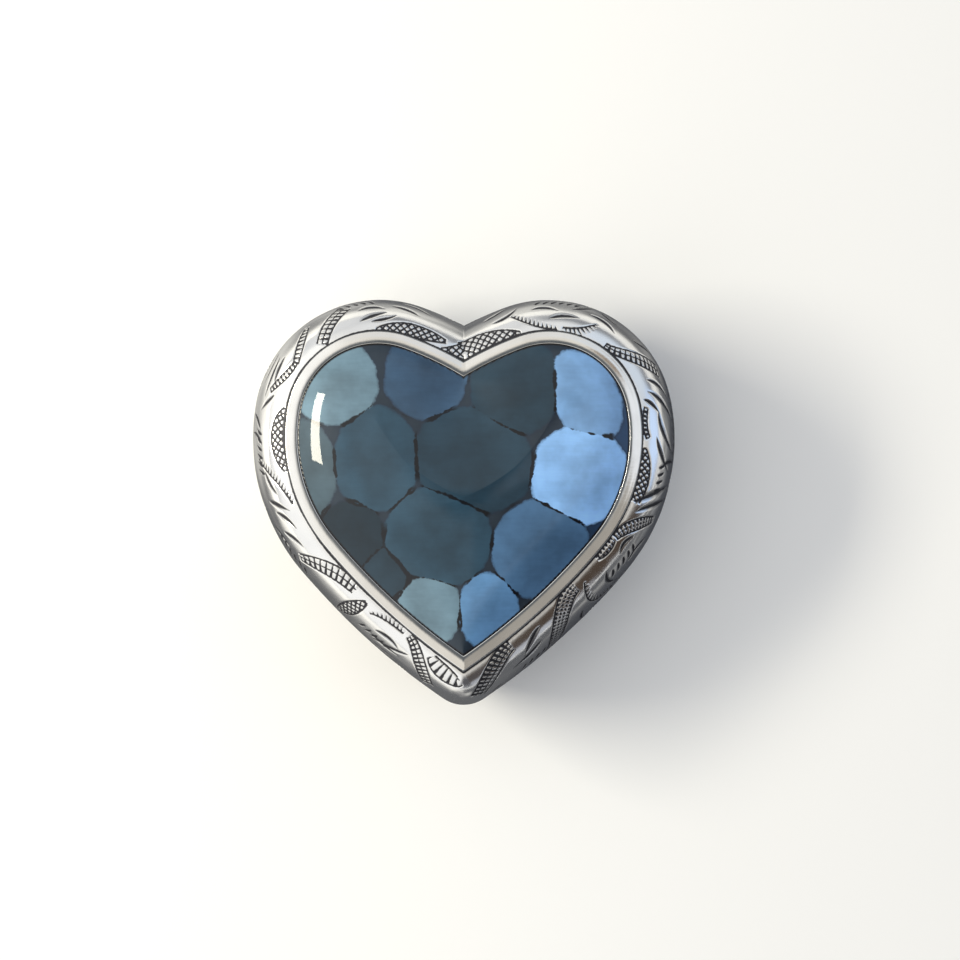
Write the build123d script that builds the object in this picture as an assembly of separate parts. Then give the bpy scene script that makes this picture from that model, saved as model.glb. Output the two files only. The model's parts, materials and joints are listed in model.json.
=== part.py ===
"""Heart-shaped trinket box: an engraved plated shell with a hinged lid, a domed enamel panel and a velvet interior.

Millimetres, +Z up. The origin is on the floor under the middle of the box. The point of the heart faces -Y,
the cleft and the hinges face +Y. Every contour of the box is one heart outline moved inwards by an inset.
"""
from build123d import *

import math
import os

import numpy as np

# ---- Overall size -------------------------------------------------------------------------------------------------
WIDTH = 76.0                # across both lobes, at the widest height
LENGTH = 73.0               # from the back of the lobes to the point
CLEFT_DEPTH = 4.6           # how far the cleft lies in front of the lobes' backs
SHOULDER_INSET = 6.4        # plan width of the rounded side; also the radius of the rounded point

# The right half of the outline is five tangent arcs: cleft, lobe, side, flank and point. These are the directions
# of the outward normal, in degrees, at the cleft, at the four joins and at the point.
TURNS = (117.0, 110.0, 10.0, -40.0, -56.0, -90.0)

# ---- Heights above the floor --------------------------------------------------------------------------------------
PAD_TOP = 1.0               # felt pad under the box
PARTING = 11.5              # plane where lid and base meet
GIRTH = 17.0                # height of the widest outline
SHOULDER_RISE = 10.86       # from the girth up to the bezel
ROOF_TOP = 27.2             # ledge that the bezel and the enamel sit on
DOME_TOP = 35.6             # crown of the enamel dome

# ---- Shells -------------------------------------------------------------------------------------------------------
WALL = 1.6
BULGE = 7.6                 # half width of the ellipse that forms the rounded side
ROOF_OPENING = 9.7          # inset of the opening in the lid's roof
GROOVE_DEPTH = 0.7          # V groove round the parting line, so that the lid can swing open
GROOVE_ANGLE = 50.0         # degrees between each groove face and the parting plane
COLLAR_RISE = 1.5           # how far the locating collar stands above the parting plane
COLLAR_INSET = 2.35
COLLAR_THICKNESS = 0.9
COLLAR_REACH = 3.0          # how far the collar reaches down inside the base
SOLDER_GAP = 0.02           # between the collar and the base's wall

# ---- Bezel and enamel ---------------------------------------------------------------------------------------------
BEZEL_OUTER = 6.55
BEZEL_INNER = 8.7
BEZEL_HEIGHT = 1.0
BEZEL_CROWN = 0.35          # how much the inner edge of the bezel is higher than its outer edge
BEZEL_EDGE = 0.15           # chamfer
RABBET = 0.45               # how far the enamel's flange reaches under the bezel
FLANGE_THICKNESS = 0.8
FLANGE_FIT = 0.05           # between the enamel and the bezel
DOME_RADIUS = 105.0         # radius of the sphere that crowns the dome
DOME_MIDDLE_Y = 1.0
DOME_EDGE_IN = 1.2          # chamfer round the dome's edge
DOME_EDGE_DOWN = 0.95
DOME_SHEET = 1.0            # thickness of the domed copper sheet

# ---- Backing and linings ------------------------------------------------------------------------------------------
BACKING_INSET = 7.0
BACKING_THICKNESS = 1.2
SCREW_INSET = 8.35
SCREW_SPOTS = ((1, 60.0), (3, -45.0))   # arc of the outline, and direction on it, of the screws of one half
SCREW_RADIUS = 0.8
SCREW_PLAY = 0.1            # between a screw and the backing plate
SCREW_HEAD_RADIUS = 1.4
SCREW_HEAD_HEIGHT = 0.6
SCREW_SLOT_WIDTH = 0.35
SCREW_SLOT_DEPTH = 0.25
LID_LINING_INSET = 5.8
LID_LINING_THICKNESS = 1.8
LID_LINING_EDGE = 0.5
LINING = 1.0                # thickness of the velvet lining of the base
LINING_GAP = 0.1            # glue gap behind it
LINING_BELOW_RIM = 0.2
CUSHION_INSET = 6.8
CUSHION_HEIGHT = 3.0
CUSHION_EDGE = 0.8
PAD_INSET = 7.0             # felt pad

# ---- Hinges -------------------------------------------------------------------------------------------------------
BARREL_RADIUS = 1.0
BARREL_LENGTH = 9.0
LID_KNUCKLE = 3.6
KNUCKLE_GAP = 0.1
PIN_RADIUS = 0.48
PIN_PLAY = 0.04             # running clearance of the lid's knuckle on the pin
PIN_HEAD_RADIUS = 0.75
PIN_HEAD = 0.25
BARREL_GAP = 0.15           # between a barrel and the notch in the shells
LEAF_REACH = 3.0            # how far a leaf reaches into its shell, up or down
LEAF_DEPTH = 8.0            # more than the wall's thickness

# ---- Magnetic catch -----------------------------------------------------------------------------------------------
MAGNET_RADIUS = 2.0
MAGNET_THICKNESS = 1.5
CUP_DEPTH = 3.4
BASE_CUP_RADIUS = 3.05
LID_CUP_RADIUS = 4.55
CATCH_GAP = 0.15

FAR = 200.0                 # larger than the box in every direction
MITRE_SURPLUS = 25.0        # degrees swept past the middle plane before the surplus is cut off


def outline_arcs():
    """Centre, radius, start and end direction of each arc of the right half, from the cleft round to the point.

    The point's radius is given. The other four follow from the cleft's depth, the width, the length, and the
    outline's return to the middle plane.
    """
    cos = np.cos(np.radians(TURNS))
    sin = np.sin(np.radians(TURNS))
    dx = np.diff(cos)
    dy = np.diff(sin)
    rows = [
        [dy[0], 1 - sin[1], 0, 0],
        [dx[0], dx[1], 1 - cos[2], 0],
        [dx[0], dx[1], dx[2], dx[3]],
        [0, sin[2] - 1, dy[2], dy[3]],
    ]
    sums = [CLEFT_DEPTH, WIDTH / 2, -SHOULDER_INSET * dx[4], -LENGTH - SHOULDER_INSET * dy[4]]
    radii = [*np.linalg.solve(rows, sums), SHOULDER_INSET]
    x, y = 0.0, LENGTH / 2 - CLEFT_DEPTH
    arcs = []
    for i, radius in enumerate(radii):
        arcs.append(((x - radius * cos[i], y - radius * sin[i]), radius, TURNS[i], TURNS[i + 1]))
        x += radius * dx[i]
        y += radius * dy[i]
    return arcs


ARCS = outline_arcs()
LOBE_CENTRE = ARCS[1][0]
POINT_CENTRE = ARCS[4][0]


def heart_face(inset):
    """Flat heart, moved inwards from the widest outline by inset. Past the point's radius its point is sharp."""
    rounded = inset < SHOULDER_INSET - 1e-6
    half = []
    for i, (centre, radius, first, last) in enumerate(ARCS[:5] if rounded else ARCS[:4]):
        r = radius - inset
        if i == 0:
            first = math.degrees(math.acos(-centre[0] / r))
        if i == 3 and not rounded:
            last = -math.degrees(math.acos(-centre[0] / r))
        half.append([on_arc(centre, r, a) for a in (first, (first + last) / 2, last)])
    edges = [ThreePointArc(*points) for points in half]
    edges += [ThreePointArc(*[(-x, y) for x, y in points]) for points in half]
    return make_face(Wire(edges))


def on_arc(centre, radius, degrees):
    a = math.radians(degrees)
    return centre[0] + radius * math.cos(a), centre[1] + radius * math.sin(a)


def heart_plate(inset, bottom, top):
    return Pos(0, 0, bottom) * extrude(heart_face(inset), top - bottom)


def heart_ring(outer, inner, bottom, top):
    return heart_plate(outer, bottom, top) - heart_plate(inner, bottom, top)


def upright(x, y, radius, bottom, top):
    """Vertical cylinder between two heights."""
    return Pos(x, y, (bottom + top) / 2) * Cylinder(radius, top - bottom)


def around_heart(section):
    """Solid swept round the heart. section is a face in the XY plane whose x is the inset and whose y is the height.

    Each arc of the outline turns the section about the arc's own centre, so the sweep is exact. Insets up to the
    point's radius follow the rounded point; larger insets meet in a mitre on the middle plane.
    """
    split = Pos(SHOULDER_INSET + FAR / 2, 0) * Rectangle(FAR, FAR)
    deep = section & split
    shallow = section - split
    right_side = Pos(FAR / 2, 0, 0) * Box(FAR, FAR, FAR)
    half = []
    for i, (centre, radius, first, last) in enumerate(ARCS):
        if i == 0:
            half.append(turned(section, centre, radius, first + MITRE_SURPLUS, last) & right_side)
        elif i < 4:
            half.append(turned(section, centre, radius, first, last))
        if i == 3 and has_area(deep):
            half.append(turned(deep, centre, radius, last, last - MITRE_SURPLUS) & right_side)
        if i == 4 and has_area(shallow):
            half.append(turned(shallow, centre, radius, first, last))
    right = half[0].fuse(*half[1:])
    return right.fuse(mirror(right, about=Plane.YZ))


def has_area(sketch):
    return sketch is not None and bool(sketch.faces()) and sketch.area > 1e-6


def turned(section, centre, radius, first, last):
    """The section revolved about a vertical axis through centre, from direction last to direction first."""
    radial = Plane(origin=(radius, 0, 0), x_dir=(-1, 0, 0), z_dir=(0, 1, 0))
    solid = revolve(radial * section, axis=Axis.Z, revolution_arc=first - last)
    return Pos(centre[0], centre[1], 0) * Rot(0, 0, last) * solid


def semi_axis(above):
    """Vertical semi-axis of the rounded side's ellipse, above or below the girth."""
    height = SHOULDER_RISE if above else GIRTH - PAD_TOP
    return height / math.sqrt(1 - (1 - SHOULDER_INSET / BULGE) ** 2)


def side_inset(z, skin=0.0):
    """Inset of the rounded side at height z, skin millimetres under its surface."""
    share = (z - GIRTH) / (semi_axis(z > GIRTH) - skin)
    return BULGE - (BULGE - skin) * math.sqrt(1 - share ** 2)


def side_height(inset, above, skin=0.0):
    """Height of the rounded side at an inset, above or below the girth, skin millimetres under its surface."""
    share = (BULGE - inset) / (BULGE - skin)
    reach = (semi_axis(above) - skin) * math.sqrt(1 - share ** 2)
    return GIRTH + reach if above else GIRTH - reach


def floor_height(skin):
    """Height of the flat bottom, skin millimetres inside the box."""
    return side_height(SHOULDER_INSET, False, skin)


def side_curve(z_from, z_to, skin=0.0, steps=6):
    """Smooth curve of the rounded side between two heights."""
    heights = [z_from + (z_to - z_from) * k / steps for k in range(steps + 1)]
    return Spline([(side_inset(z, skin), z) for z in heights])


def wall_section(z_low, z_high):
    """Half of the side's cross-section: outer skin, land, inner skin, land."""
    outer = [side_curve(*pair) for pair in spans(z_low, z_high)]
    inner_high = min(z_high, side_height(SHOULDER_INSET, True, WALL))
    inner_low = max(z_low, floor_height(WALL))
    inner = [side_curve(*pair, skin=WALL) for pair in spans(inner_low, inner_high)]
    low_land = Line(outer[0] @ 0, inner[0] @ 0)
    high_land = Line(outer[-1] @ 1, inner[-1] @ 1)
    return make_face(Wire([*outer, high_land, *inner, low_land]))


def spans(z_low, z_high):
    """The height range, broken at the girth if it crosses it."""
    if z_low < GIRTH < z_high:
        return [(z_low, GIRTH), (GIRTH, z_high)]
    return [(z_low, z_high)]


def parting_groove():
    """The V cut out of both rims: its root lies on the parting plane."""
    root = groove_root()
    reach = 3 * GROOVE_DEPTH
    mouth = root - reach
    rise = reach * math.tan(math.radians(GROOVE_ANGLE))
    return make_face(Polyline((root, PARTING), (mouth, PARTING + rise), (mouth, PARTING - rise), close=True))


def groove_root():
    return side_inset(PARTING) + GROOVE_DEPTH


# ---- Hinges ---------------------------------------------------------------------------------------------------
HINGE_Y = LENGTH / 2 - groove_root()
HINGE_X = LOBE_CENTRE[0]


def barrel(side, radius, length, shift=0.0):
    """Cylinder on the hinge axis, centred on one of the two hinges: side is -1 (left) or +1 (right)."""
    return Pos(side * HINGE_X + shift, HINGE_Y, PARTING) * Rot(0, 90, 0) * Cylinder(radius, length)


def leaf_block(side, length, bottom, top):
    """Space of a leaf: it takes the place of a piece of the wall."""
    middle = (bottom + top) / 2
    return Pos(side * HINGE_X, HINGE_Y, middle) * Box(length, LEAF_DEPTH, top - bottom)


def base_leaf_space(side):
    return leaf_block(side, BARREL_LENGTH, PARTING - LEAF_REACH, PARTING)


def lid_leaf_space(side):
    return leaf_block(side, LID_KNUCKLE, PARTING, PARTING + LEAF_REACH)


def barrel_space(side):
    return barrel(side, BARREL_RADIUS + BARREL_GAP, BARREL_LENGTH + 2 * (PIN_HEAD + BARREL_GAP))


def hinge_base_leaf(side, wall):
    knuckle = (BARREL_LENGTH - LID_KNUCKLE) / 2 - KNUCKLE_GAP
    shift = (LID_KNUCKLE + knuckle) / 2 + KNUCKLE_GAP
    leaf = wall & base_leaf_space(side)
    leaf -= barrel(side, BARREL_RADIUS + BARREL_GAP, LID_KNUCKLE + 2 * KNUCKLE_GAP)
    leaf += barrel(side, BARREL_RADIUS, knuckle, shift) + barrel(side, BARREL_RADIUS, knuckle, -shift)
    return leaf - barrel(side, PIN_RADIUS, BARREL_LENGTH)


def hinge_lid_leaf(side, wall):
    leaf = (wall & lid_leaf_space(side)) + barrel(side, BARREL_RADIUS, LID_KNUCKLE)
    return leaf - barrel(side, PIN_RADIUS + PIN_PLAY, BARREL_LENGTH)


def hinge_pin(side):
    pin = barrel(side, PIN_RADIUS, BARREL_LENGTH)
    for end in (-1, 1):
        pin += barrel(side, PIN_HEAD_RADIUS, PIN_HEAD, end * (BARREL_LENGTH + PIN_HEAD) / 2)
    return pin


# ---- Base -----------------------------------------------------------------------------------------------------
def base_wall():
    wall = around_heart(wall_section(PAD_TOP, PARTING) - parting_groove())
    return wall + heart_plate(SHOULDER_INSET, PAD_TOP, floor_height(WALL))


def base_shell(wall):
    for side in (-1, 1):
        wall -= base_leaf_space(side)
        wall -= barrel_space(side)
    return wall


def base_collar():
    """Ring inside the base that stands up above the rim and guides the lid."""
    low = PARTING - COLLAR_REACH
    high = PARTING + COLLAR_RISE
    foot = side_inset(low, WALL) + SOLDER_GAP
    inner = COLLAR_INSET + COLLAR_THICKNESS
    section = Polyline(
        (foot, low), (COLLAR_INSET, PARTING), (COLLAR_INSET, high), (inner, high), (inner, low), close=True
    )
    return around_heart(make_face(section))


def lining_side(back, skin, top):
    """Inset-height path of one face of the base lining, from its top edge down to the floor.

    Behind the collar the face is straight, at an inset of back; below that it follows the wall at a depth of skin.
    """
    turn = side_height(back, False, skin)
    return [Line((back, top), (back, turn)), side_curve(turn, floor_height(skin), skin)]


def base_lining():
    top = PARTING - LINING_BELOW_RIM
    back = COLLAR_INSET + COLLAR_THICKNESS + LINING_GAP
    skin = WALL + LINING_GAP
    outer = lining_side(back, skin, top)
    inner = lining_side(back + LINING, skin + LINING, top)
    section = make_face(Wire([*outer, Line(outer[-1] @ 1, inner[-1] @ 1), *inner, Line(inner[0] @ 0, outer[0] @ 0)]))
    lining = around_heart(section)
    lining += heart_plate(SHOULDER_INSET, floor_height(skin), floor_height(skin + LINING))
    cup_bottom = PARTING + COLLAR_RISE - CUP_DEPTH
    return lining - catch_cylinder(BASE_CUP_RADIUS + LINING_GAP, cup_bottom - LINING_GAP, FAR)


def base_cushion():
    bottom = floor_height(WALL + LINING_GAP + LINING) + LINING_GAP
    pad = heart_plate(CUSHION_INSET, bottom, bottom + CUSHION_HEIGHT)
    return chamfer(pad.faces().sort_by(Axis.Z)[-1].edges(), CUSHION_EDGE)


def felt_pad():
    return heart_plate(PAD_INSET, 0, PAD_TOP)


# ---- Magnetic catch, in the point of the heart ------------------------------------------------------------------
def catch_cylinder(radius, bottom, top):
    return upright(*POINT_CENTRE, radius, bottom, top)


def base_magnet_cup():
    top = PARTING + COLLAR_RISE
    return catch_cylinder(BASE_CUP_RADIUS, top - CUP_DEPTH, top) - base_magnet()


def base_magnet():
    top = PARTING + COLLAR_RISE
    return catch_cylinder(MAGNET_RADIUS, top - MAGNET_THICKNESS, top)


def lid_magnet_cup():
    bottom = PARTING + COLLAR_RISE + CATCH_GAP
    return catch_cylinder(LID_CUP_RADIUS, bottom, bottom + CUP_DEPTH) - lid_magnet()


def lid_magnet():
    bottom = PARTING + COLLAR_RISE + CATCH_GAP
    return catch_cylinder(MAGNET_RADIUS, bottom, bottom + MAGNET_THICKNESS)


# ---- Lid ------------------------------------------------------------------------------------------------------
SHOULDER_TOP = GIRTH + SHOULDER_RISE


def roof_bottom():
    return side_height(SHOULDER_INSET, True, WALL)


def lid_wall():
    wall = around_heart(wall_section(PARTING, SHOULDER_TOP) - parting_groove())
    return wall + heart_ring(SHOULDER_INSET, ROOF_OPENING, roof_bottom(), ROOF_TOP)


def lid_shell(wall):
    for side in (-1, 1):
        wall -= lid_leaf_space(side)
        wall -= barrel_space(side)
    for x, y in screw_places():
        wall -= upright(x, y, SCREW_RADIUS, SHOULDER_TOP - 2 * WALL, SHOULDER_TOP)
    return wall


def bezel():
    """Polished frame: sits on the roof and grips the enamel's flange under its inner lip."""
    top = ROOF_TOP + BEZEL_HEIGHT
    crown = top + BEZEL_CROWN
    under = ROOF_TOP + FLANGE_THICKNESS
    lip = BEZEL_INNER - RABBET
    section = Polyline(
        (BEZEL_OUTER, ROOF_TOP),
        (BEZEL_OUTER, top - BEZEL_EDGE),
        (BEZEL_OUTER + BEZEL_EDGE, top),
        (BEZEL_INNER - BEZEL_EDGE, crown),
        (BEZEL_INNER, crown - BEZEL_EDGE),
        (BEZEL_INNER, under),
        (lip, under),
        (lip, ROOF_TOP),
        close=True,
    )
    return around_heart(make_face(section))


def enamel_dome():
    """Domed copper sheet, enamelled outside and hollow inside, with a flat flange under the bezel."""
    flange_top = ROOF_TOP + FLANGE_THICKNESS
    outside = crowned(BEZEL_INNER + FLANGE_FIT, flange_top, DOME_TOP)
    top_face = outside.faces().sort_by(Axis.Z)[-1]
    outside = chamfer(top_face.edges(), DOME_EDGE_DOWN, DOME_EDGE_IN)
    flange = heart_plate(BEZEL_INNER - RABBET + FLANGE_FIT, ROOF_TOP, flange_top)
    inside = crowned(BEZEL_INNER + 2 * DOME_SHEET, ROOF_TOP, DOME_TOP - DOME_SHEET)
    return outside + flange - inside


def crowned(inset, bottom, top):
    """Heart-shaped column whose top is part of a large sphere."""
    sphere = Pos(0, DOME_MIDDLE_Y, top - DOME_RADIUS) * Sphere(DOME_RADIUS)
    return heart_plate(inset, bottom, top + 1) & sphere


def screw_places():
    """Four screws round the roof ledge: one in each lobe and one on each flank."""
    places = []
    for arc, direction in SCREW_SPOTS:
        x, y = on_arc(ARCS[arc][0], ARCS[arc][1] - SCREW_INSET, direction)
        places += [(x, y), (-x, y)]
    return places


def backing_plate():
    top = roof_bottom()
    bottom = top - BACKING_THICKNESS
    plate = heart_plate(BACKING_INSET, bottom, top)
    for x, y in screw_places():
        plate -= upright(x, y, SCREW_RADIUS + SCREW_PLAY, bottom, top)
        plate -= upright(x, y, SCREW_HEAD_RADIUS + SCREW_PLAY, bottom, bottom + SCREW_HEAD_HEIGHT)
    return plate


def backing_screws():
    bottom = roof_bottom() - BACKING_THICKNESS
    screws = []
    for x, y in screw_places():
        head = upright(x, y, SCREW_HEAD_RADIUS, bottom, bottom + SCREW_HEAD_HEIGHT)
        shank = upright(x, y, SCREW_RADIUS, bottom, ROOF_TOP - FLANGE_FIT)
        slot = Pos(x, y, bottom) * Box(2 * SCREW_HEAD_RADIUS, SCREW_SLOT_WIDTH, 2 * SCREW_SLOT_DEPTH)
        screws.append(head + shank - slot)
    return Compound(children=screws)


def lid_lining():
    top = roof_bottom() - BACKING_THICKNESS
    pad = heart_plate(LID_LINING_INSET, top - LID_LINING_THICKNESS, top)
    return chamfer(pad.faces().sort_by(Axis.Z)[0].edges(), LID_LINING_EDGE)


def build():
    base, lid = base_wall(), lid_wall()
    parts = {
        "felt_pad": felt_pad(),
        "base_shell": base_shell(base),
        "base_collar": base_collar(),
        "base_lining": base_lining(),
        "base_cushion": base_cushion(),
        "base_magnet_cup": base_magnet_cup(),
        "base_magnet": base_magnet(),
        "lid_shell": lid_shell(lid),
        "bezel": bezel(),
        "enamel_dome": enamel_dome(),
        "backing_plate": backing_plate(),
        "backing_screws": backing_screws(),
        "lid_lining": lid_lining(),
        "lid_magnet_cup": lid_magnet_cup(),
        "lid_magnet": lid_magnet(),
    }
    for name, side in (("left", -1), ("right", 1)):
        parts[f"hinge_base_leaf_{name}"] = hinge_base_leaf(side, base)
        parts[f"hinge_lid_leaf_{name}"] = hinge_lid_leaf(side, lid)
        parts[f"hinge_pin_{name}"] = hinge_pin(side)
    return parts


os.makedirs("parts", exist_ok=True)
for node, shape in build().items():
    export_step(shape, f"parts/{node}.step")
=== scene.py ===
"""Looks for the heart-shaped trinket box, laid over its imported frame.

Design sizes are in millimetres in the row's frame, and meshes are written in metres. Four words are used
throughout. s is the distance along the girth from the cleft towards the point, positive on the right half
and negative on the left. v is the distance down the rounded side from the bezel. inset is how far inside
the girth's outline something lies in plan. skin is how deep something lies under the rounded side.
"""
import json
import math

import bmesh
import bpy
import numpy as np
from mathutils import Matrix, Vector


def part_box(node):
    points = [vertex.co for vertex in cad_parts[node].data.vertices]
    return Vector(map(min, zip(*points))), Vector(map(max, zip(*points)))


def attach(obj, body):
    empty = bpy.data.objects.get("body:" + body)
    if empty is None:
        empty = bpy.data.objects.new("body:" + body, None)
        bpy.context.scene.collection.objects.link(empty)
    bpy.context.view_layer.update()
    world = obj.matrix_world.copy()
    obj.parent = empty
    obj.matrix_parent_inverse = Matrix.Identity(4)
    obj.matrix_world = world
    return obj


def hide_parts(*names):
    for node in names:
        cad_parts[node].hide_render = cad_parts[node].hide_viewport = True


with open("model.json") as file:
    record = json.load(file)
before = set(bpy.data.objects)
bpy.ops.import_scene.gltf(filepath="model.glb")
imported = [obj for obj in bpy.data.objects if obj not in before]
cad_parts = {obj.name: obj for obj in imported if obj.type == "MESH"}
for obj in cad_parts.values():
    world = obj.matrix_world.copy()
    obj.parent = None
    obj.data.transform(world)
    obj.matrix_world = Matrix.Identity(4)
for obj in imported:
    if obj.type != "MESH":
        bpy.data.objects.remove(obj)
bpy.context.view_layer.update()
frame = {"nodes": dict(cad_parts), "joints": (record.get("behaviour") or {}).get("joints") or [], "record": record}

MM = 0.001
SEED = 7


def span(node):
    """Lowest and highest corner of a CAD node, in millimetres."""
    low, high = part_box(node)
    return np.array(low) / MM, np.array(high) / MM


# ---- Sizes, from the frame --------------------------------------------
WIDTH, LENGTH = (round(side / MM, 1) for side in frame["record"]["size"]["bbox_m"][:2])
PAD_TOP = span("felt_pad")[1][2]
PARTING = span("lid_shell")[0][2]
SHOULDER_TOP = span("lid_shell")[1][2]
ROOF_TOP = span("bezel")[0][2]
BEZEL_TOP = span("bezel")[1][2]
DOME_TOP = span("enamel_dome")[1][2]
COLLAR_LOW, COLLAR_HIGH = (corner[2] for corner in span("base_collar"))
LINING_HIGH = span("base_lining")[1][2]
HINGE_Y, HINGE_Z = (frame["joints"][0]["pos_m"][axis] / MM for axis in (1, 2))

# ---- Shape of the heart: the CAD's outline and side --------------------
CLEFT_DEPTH = 4.6
SHOULDER_INSET = 6.4
TURNS = (117.0, 110.0, 10.0, -40.0, -56.0, -90.0)   # outward directions at the joins of the arcs
BULGE = 7.6
GIRTH = 17.0
WALL = 1.6
ROOF_OPENING = 9.7
GROOVE_DEPTH = 0.7
GROOVE_ANGLE = 50.0
BEZEL_OUTER = 6.55
BEZEL_INNER = 8.7
COLLAR_INSET = 2.35
COLLAR_THICKNESS = 0.9


def outline_arcs():
    """One row per arc of the right half: centre x, centre y, radius, first and last direction in radians."""
    turns = np.radians(TURNS)
    dx = np.diff(np.cos(turns))
    dy = np.diff(np.sin(turns))
    top = np.sin(turns[1])
    side = np.cos(turns[2])
    rows = [
        [dy[0], 1 - top, 0, 0],
        [dx[0], dx[1], 1 - side, 0],
        [dx[0], dx[1], dx[2], dx[3]],
        [0, np.sin(turns[2]) - 1, dy[2], dy[3]],
    ]
    sums = [CLEFT_DEPTH, WIDTH / 2, -SHOULDER_INSET * dx[4], -LENGTH - SHOULDER_INSET * dy[4]]
    radii = [*np.linalg.solve(rows, sums), SHOULDER_INSET]
    x, y = 0.0, LENGTH / 2 - CLEFT_DEPTH
    arcs = []
    for i, radius in enumerate(radii):
        cx = x - radius * np.cos(turns[i])
        cy = y - radius * np.sin(turns[i])
        arcs.append((cx, cy, radius, turns[i], turns[i + 1]))
        x += radius * dx[i]
        y += radius * dy[i]
    return np.array(arcs)


ARCS = outline_arcs()
JOINS = np.concatenate([[0], np.cumsum(ARCS[:, 2] * (ARCS[:, 3] - ARCS[:, 4]))])
HALF = JOINS[-1]                                    # length of half of the girth
POINT_ARC = len(ARCS) - 1


def place(s, inset):
    """Plan position and outward direction at s, moved in by inset. Past the point's radius it is mitred."""
    s, inset = np.broadcast_arrays(np.asarray(s, float), np.asarray(inset, float))
    wrapped = (s + HALF) % (2 * HALF) - HALF
    along = np.abs(wrapped)
    mirror = np.where(wrapped < 0, -1.0, 1.0)
    arc = np.clip(np.searchsorted(JOINS, along, side="right") - 1, 0, POINT_ARC)
    share = (along - JOINS[arc]) / (JOINS[arc + 1] - JOINS[arc])
    mitred = (arc == POINT_ARC) & (inset > SHOULDER_INSET)
    arc = np.where(mitred, POINT_ARC - 1, arc)
    share = np.where(mitred, 1.0, np.clip(share, 0, 1))
    cx, cy, radius, first, last = np.moveaxis(ARCS[arc], -1, 0)
    reach = np.maximum(radius - inset, 1e-9)
    middle = np.arccos(np.clip(-cx / reach, -1, 1))
    first = np.where(arc == 0, middle, first)
    last = np.where((arc == POINT_ARC - 1) & (inset > SHOULDER_INSET), -middle, last)
    direction = first + (last - first) * share
    x = mirror * (cx + reach * np.cos(direction))
    y = cy + reach * np.sin(direction)
    return x, y, mirror * np.cos(direction), np.sin(direction)


def semi_axis(z):
    """Vertical semi-axis of the rounded side's ellipse at height z: it differs above and below the girth."""
    height = np.where(z > GIRTH, SHOULDER_TOP - GIRTH, GIRTH - PAD_TOP)
    return height / math.sqrt(1 - (1 - SHOULDER_INSET / BULGE) ** 2)


def side_inset(z, skin=0.0):
    share = (z - GIRTH) / (semi_axis(z) - skin)
    return BULGE - (BULGE - skin) * np.sqrt(np.maximum(1 - share ** 2, 0))


def side_table(samples=4000):
    """Heights and distances v down the rounded side, finely sampled."""
    z = GIRTH + (SHOULDER_TOP - GIRTH) * np.cos(np.linspace(0, math.pi / 2, samples))
    low = GIRTH - (GIRTH - PAD_TOP) * np.sin(np.linspace(0, math.pi / 2, samples))
    z = np.concatenate([z, low[1:]])
    v = np.concatenate([[0], np.cumsum(np.hypot(np.diff(side_inset(z)), np.diff(z)))])
    return v, z


SIDE_V, SIDE_Z = side_table()
V_END = SIDE_V[-1]


def v_at(z):
    return np.interp(-np.asarray(z), -SIDE_Z, SIDE_V)


def on_side(s, v):
    """Points of the rounded side and their outward normals."""
    z = np.interp(v, SIDE_V, SIDE_Z)
    inset = side_inset(z)
    x, y, ox, oy = place(s, inset)
    outwards = (BULGE - inset) / BULGE ** 2
    upwards = (z - GIRTH) / semi_axis(z) ** 2
    length = np.hypot(outwards, upwards)
    z = np.broadcast_to(z, x.shape)
    normal = np.stack([ox * outwards / length, oy * outwards / length, upwards / length + 0 * x], -1)
    return np.stack([x, y, z], -1), normal


def groove_mouth(above):
    """Height at which the V groove of the parting line breaks out of the side."""
    root = side_inset(PARTING) + GROOVE_DEPTH
    out = np.linspace(0, 2 * GROOVE_DEPTH, 500)
    rise = out * math.tan(math.radians(GROOVE_ANGLE)) * (1 if above else -1)
    gap = side_inset(PARTING + rise) - (root - out)
    return PARTING + np.interp(0, gap, rise)


# ---- Mesh helpers -----------------------------------------------------
def girth_stations(step):
    """Values of s round the whole heart, closed, with a station at every join of two arcs."""
    right = []
    for a, b in zip(JOINS, JOINS[1:]):
        right.append(np.linspace(a, b, max(2, round((b - a) / step)), endpoint=False))
    right = np.concatenate([*right, [HALF]])
    return np.concatenate([right, -right[-2:0:-1]])


def around(section, s):
    """Points of a section, given as (inset, z), at the stations s: an array of (columns, rows, 3)."""
    inset, z = np.array(section, float).T
    x, y, _, _ = place(s[:, None], inset[None, :])
    return np.stack([x, y, np.broadcast_to(z, x.shape)], -1)


def band_faces(columns, rows, closed):
    """Quads of a section carried round the heart. An open section gets one flat face at each of its ends."""
    i, j = np.meshgrid(np.arange(columns), np.arange(rows if closed else rows - 1), indexing="ij")
    i2 = (i + 1) % columns
    j2 = (j + 1) % rows
    quads = np.stack([i * rows + j, i2 * rows + j, i2 * rows + j2, i * rows + j2], -1).reshape(-1, 4)
    ends = () if closed else (0, rows - 1)
    return quads.tolist() + [[i * rows + end for i in range(columns)] for end in ends]


def raw_object(name, points, faces):
    """Mesh object from points in millimetres, all smooth."""
    mesh = bpy.data.meshes.new(name)
    mesh.from_pydata((np.asarray(points) * MM).tolist(), [], faces)
    mesh.polygons.foreach_set("use_smooth", [True] * len(mesh.polygons))
    obj = bpy.data.objects.new(name, mesh)
    bpy.context.scene.collection.objects.link(obj)
    return obj


def finish_object(obj, body, nodes, sharp):
    """Sharpens the edges that are sharper than an angle, and puts the piece on its body for the CAD nodes."""
    obj.data.set_sharp_from_angle(angle=math.radians(sharp))
    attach(obj, body)
    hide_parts(*nodes)


def make_object(name, points, faces, body, nodes, sharp):
    obj = raw_object(name, points, faces)
    tidy_mesh(obj.data)
    finish_object(obj, body, nodes, sharp)
    return obj


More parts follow.
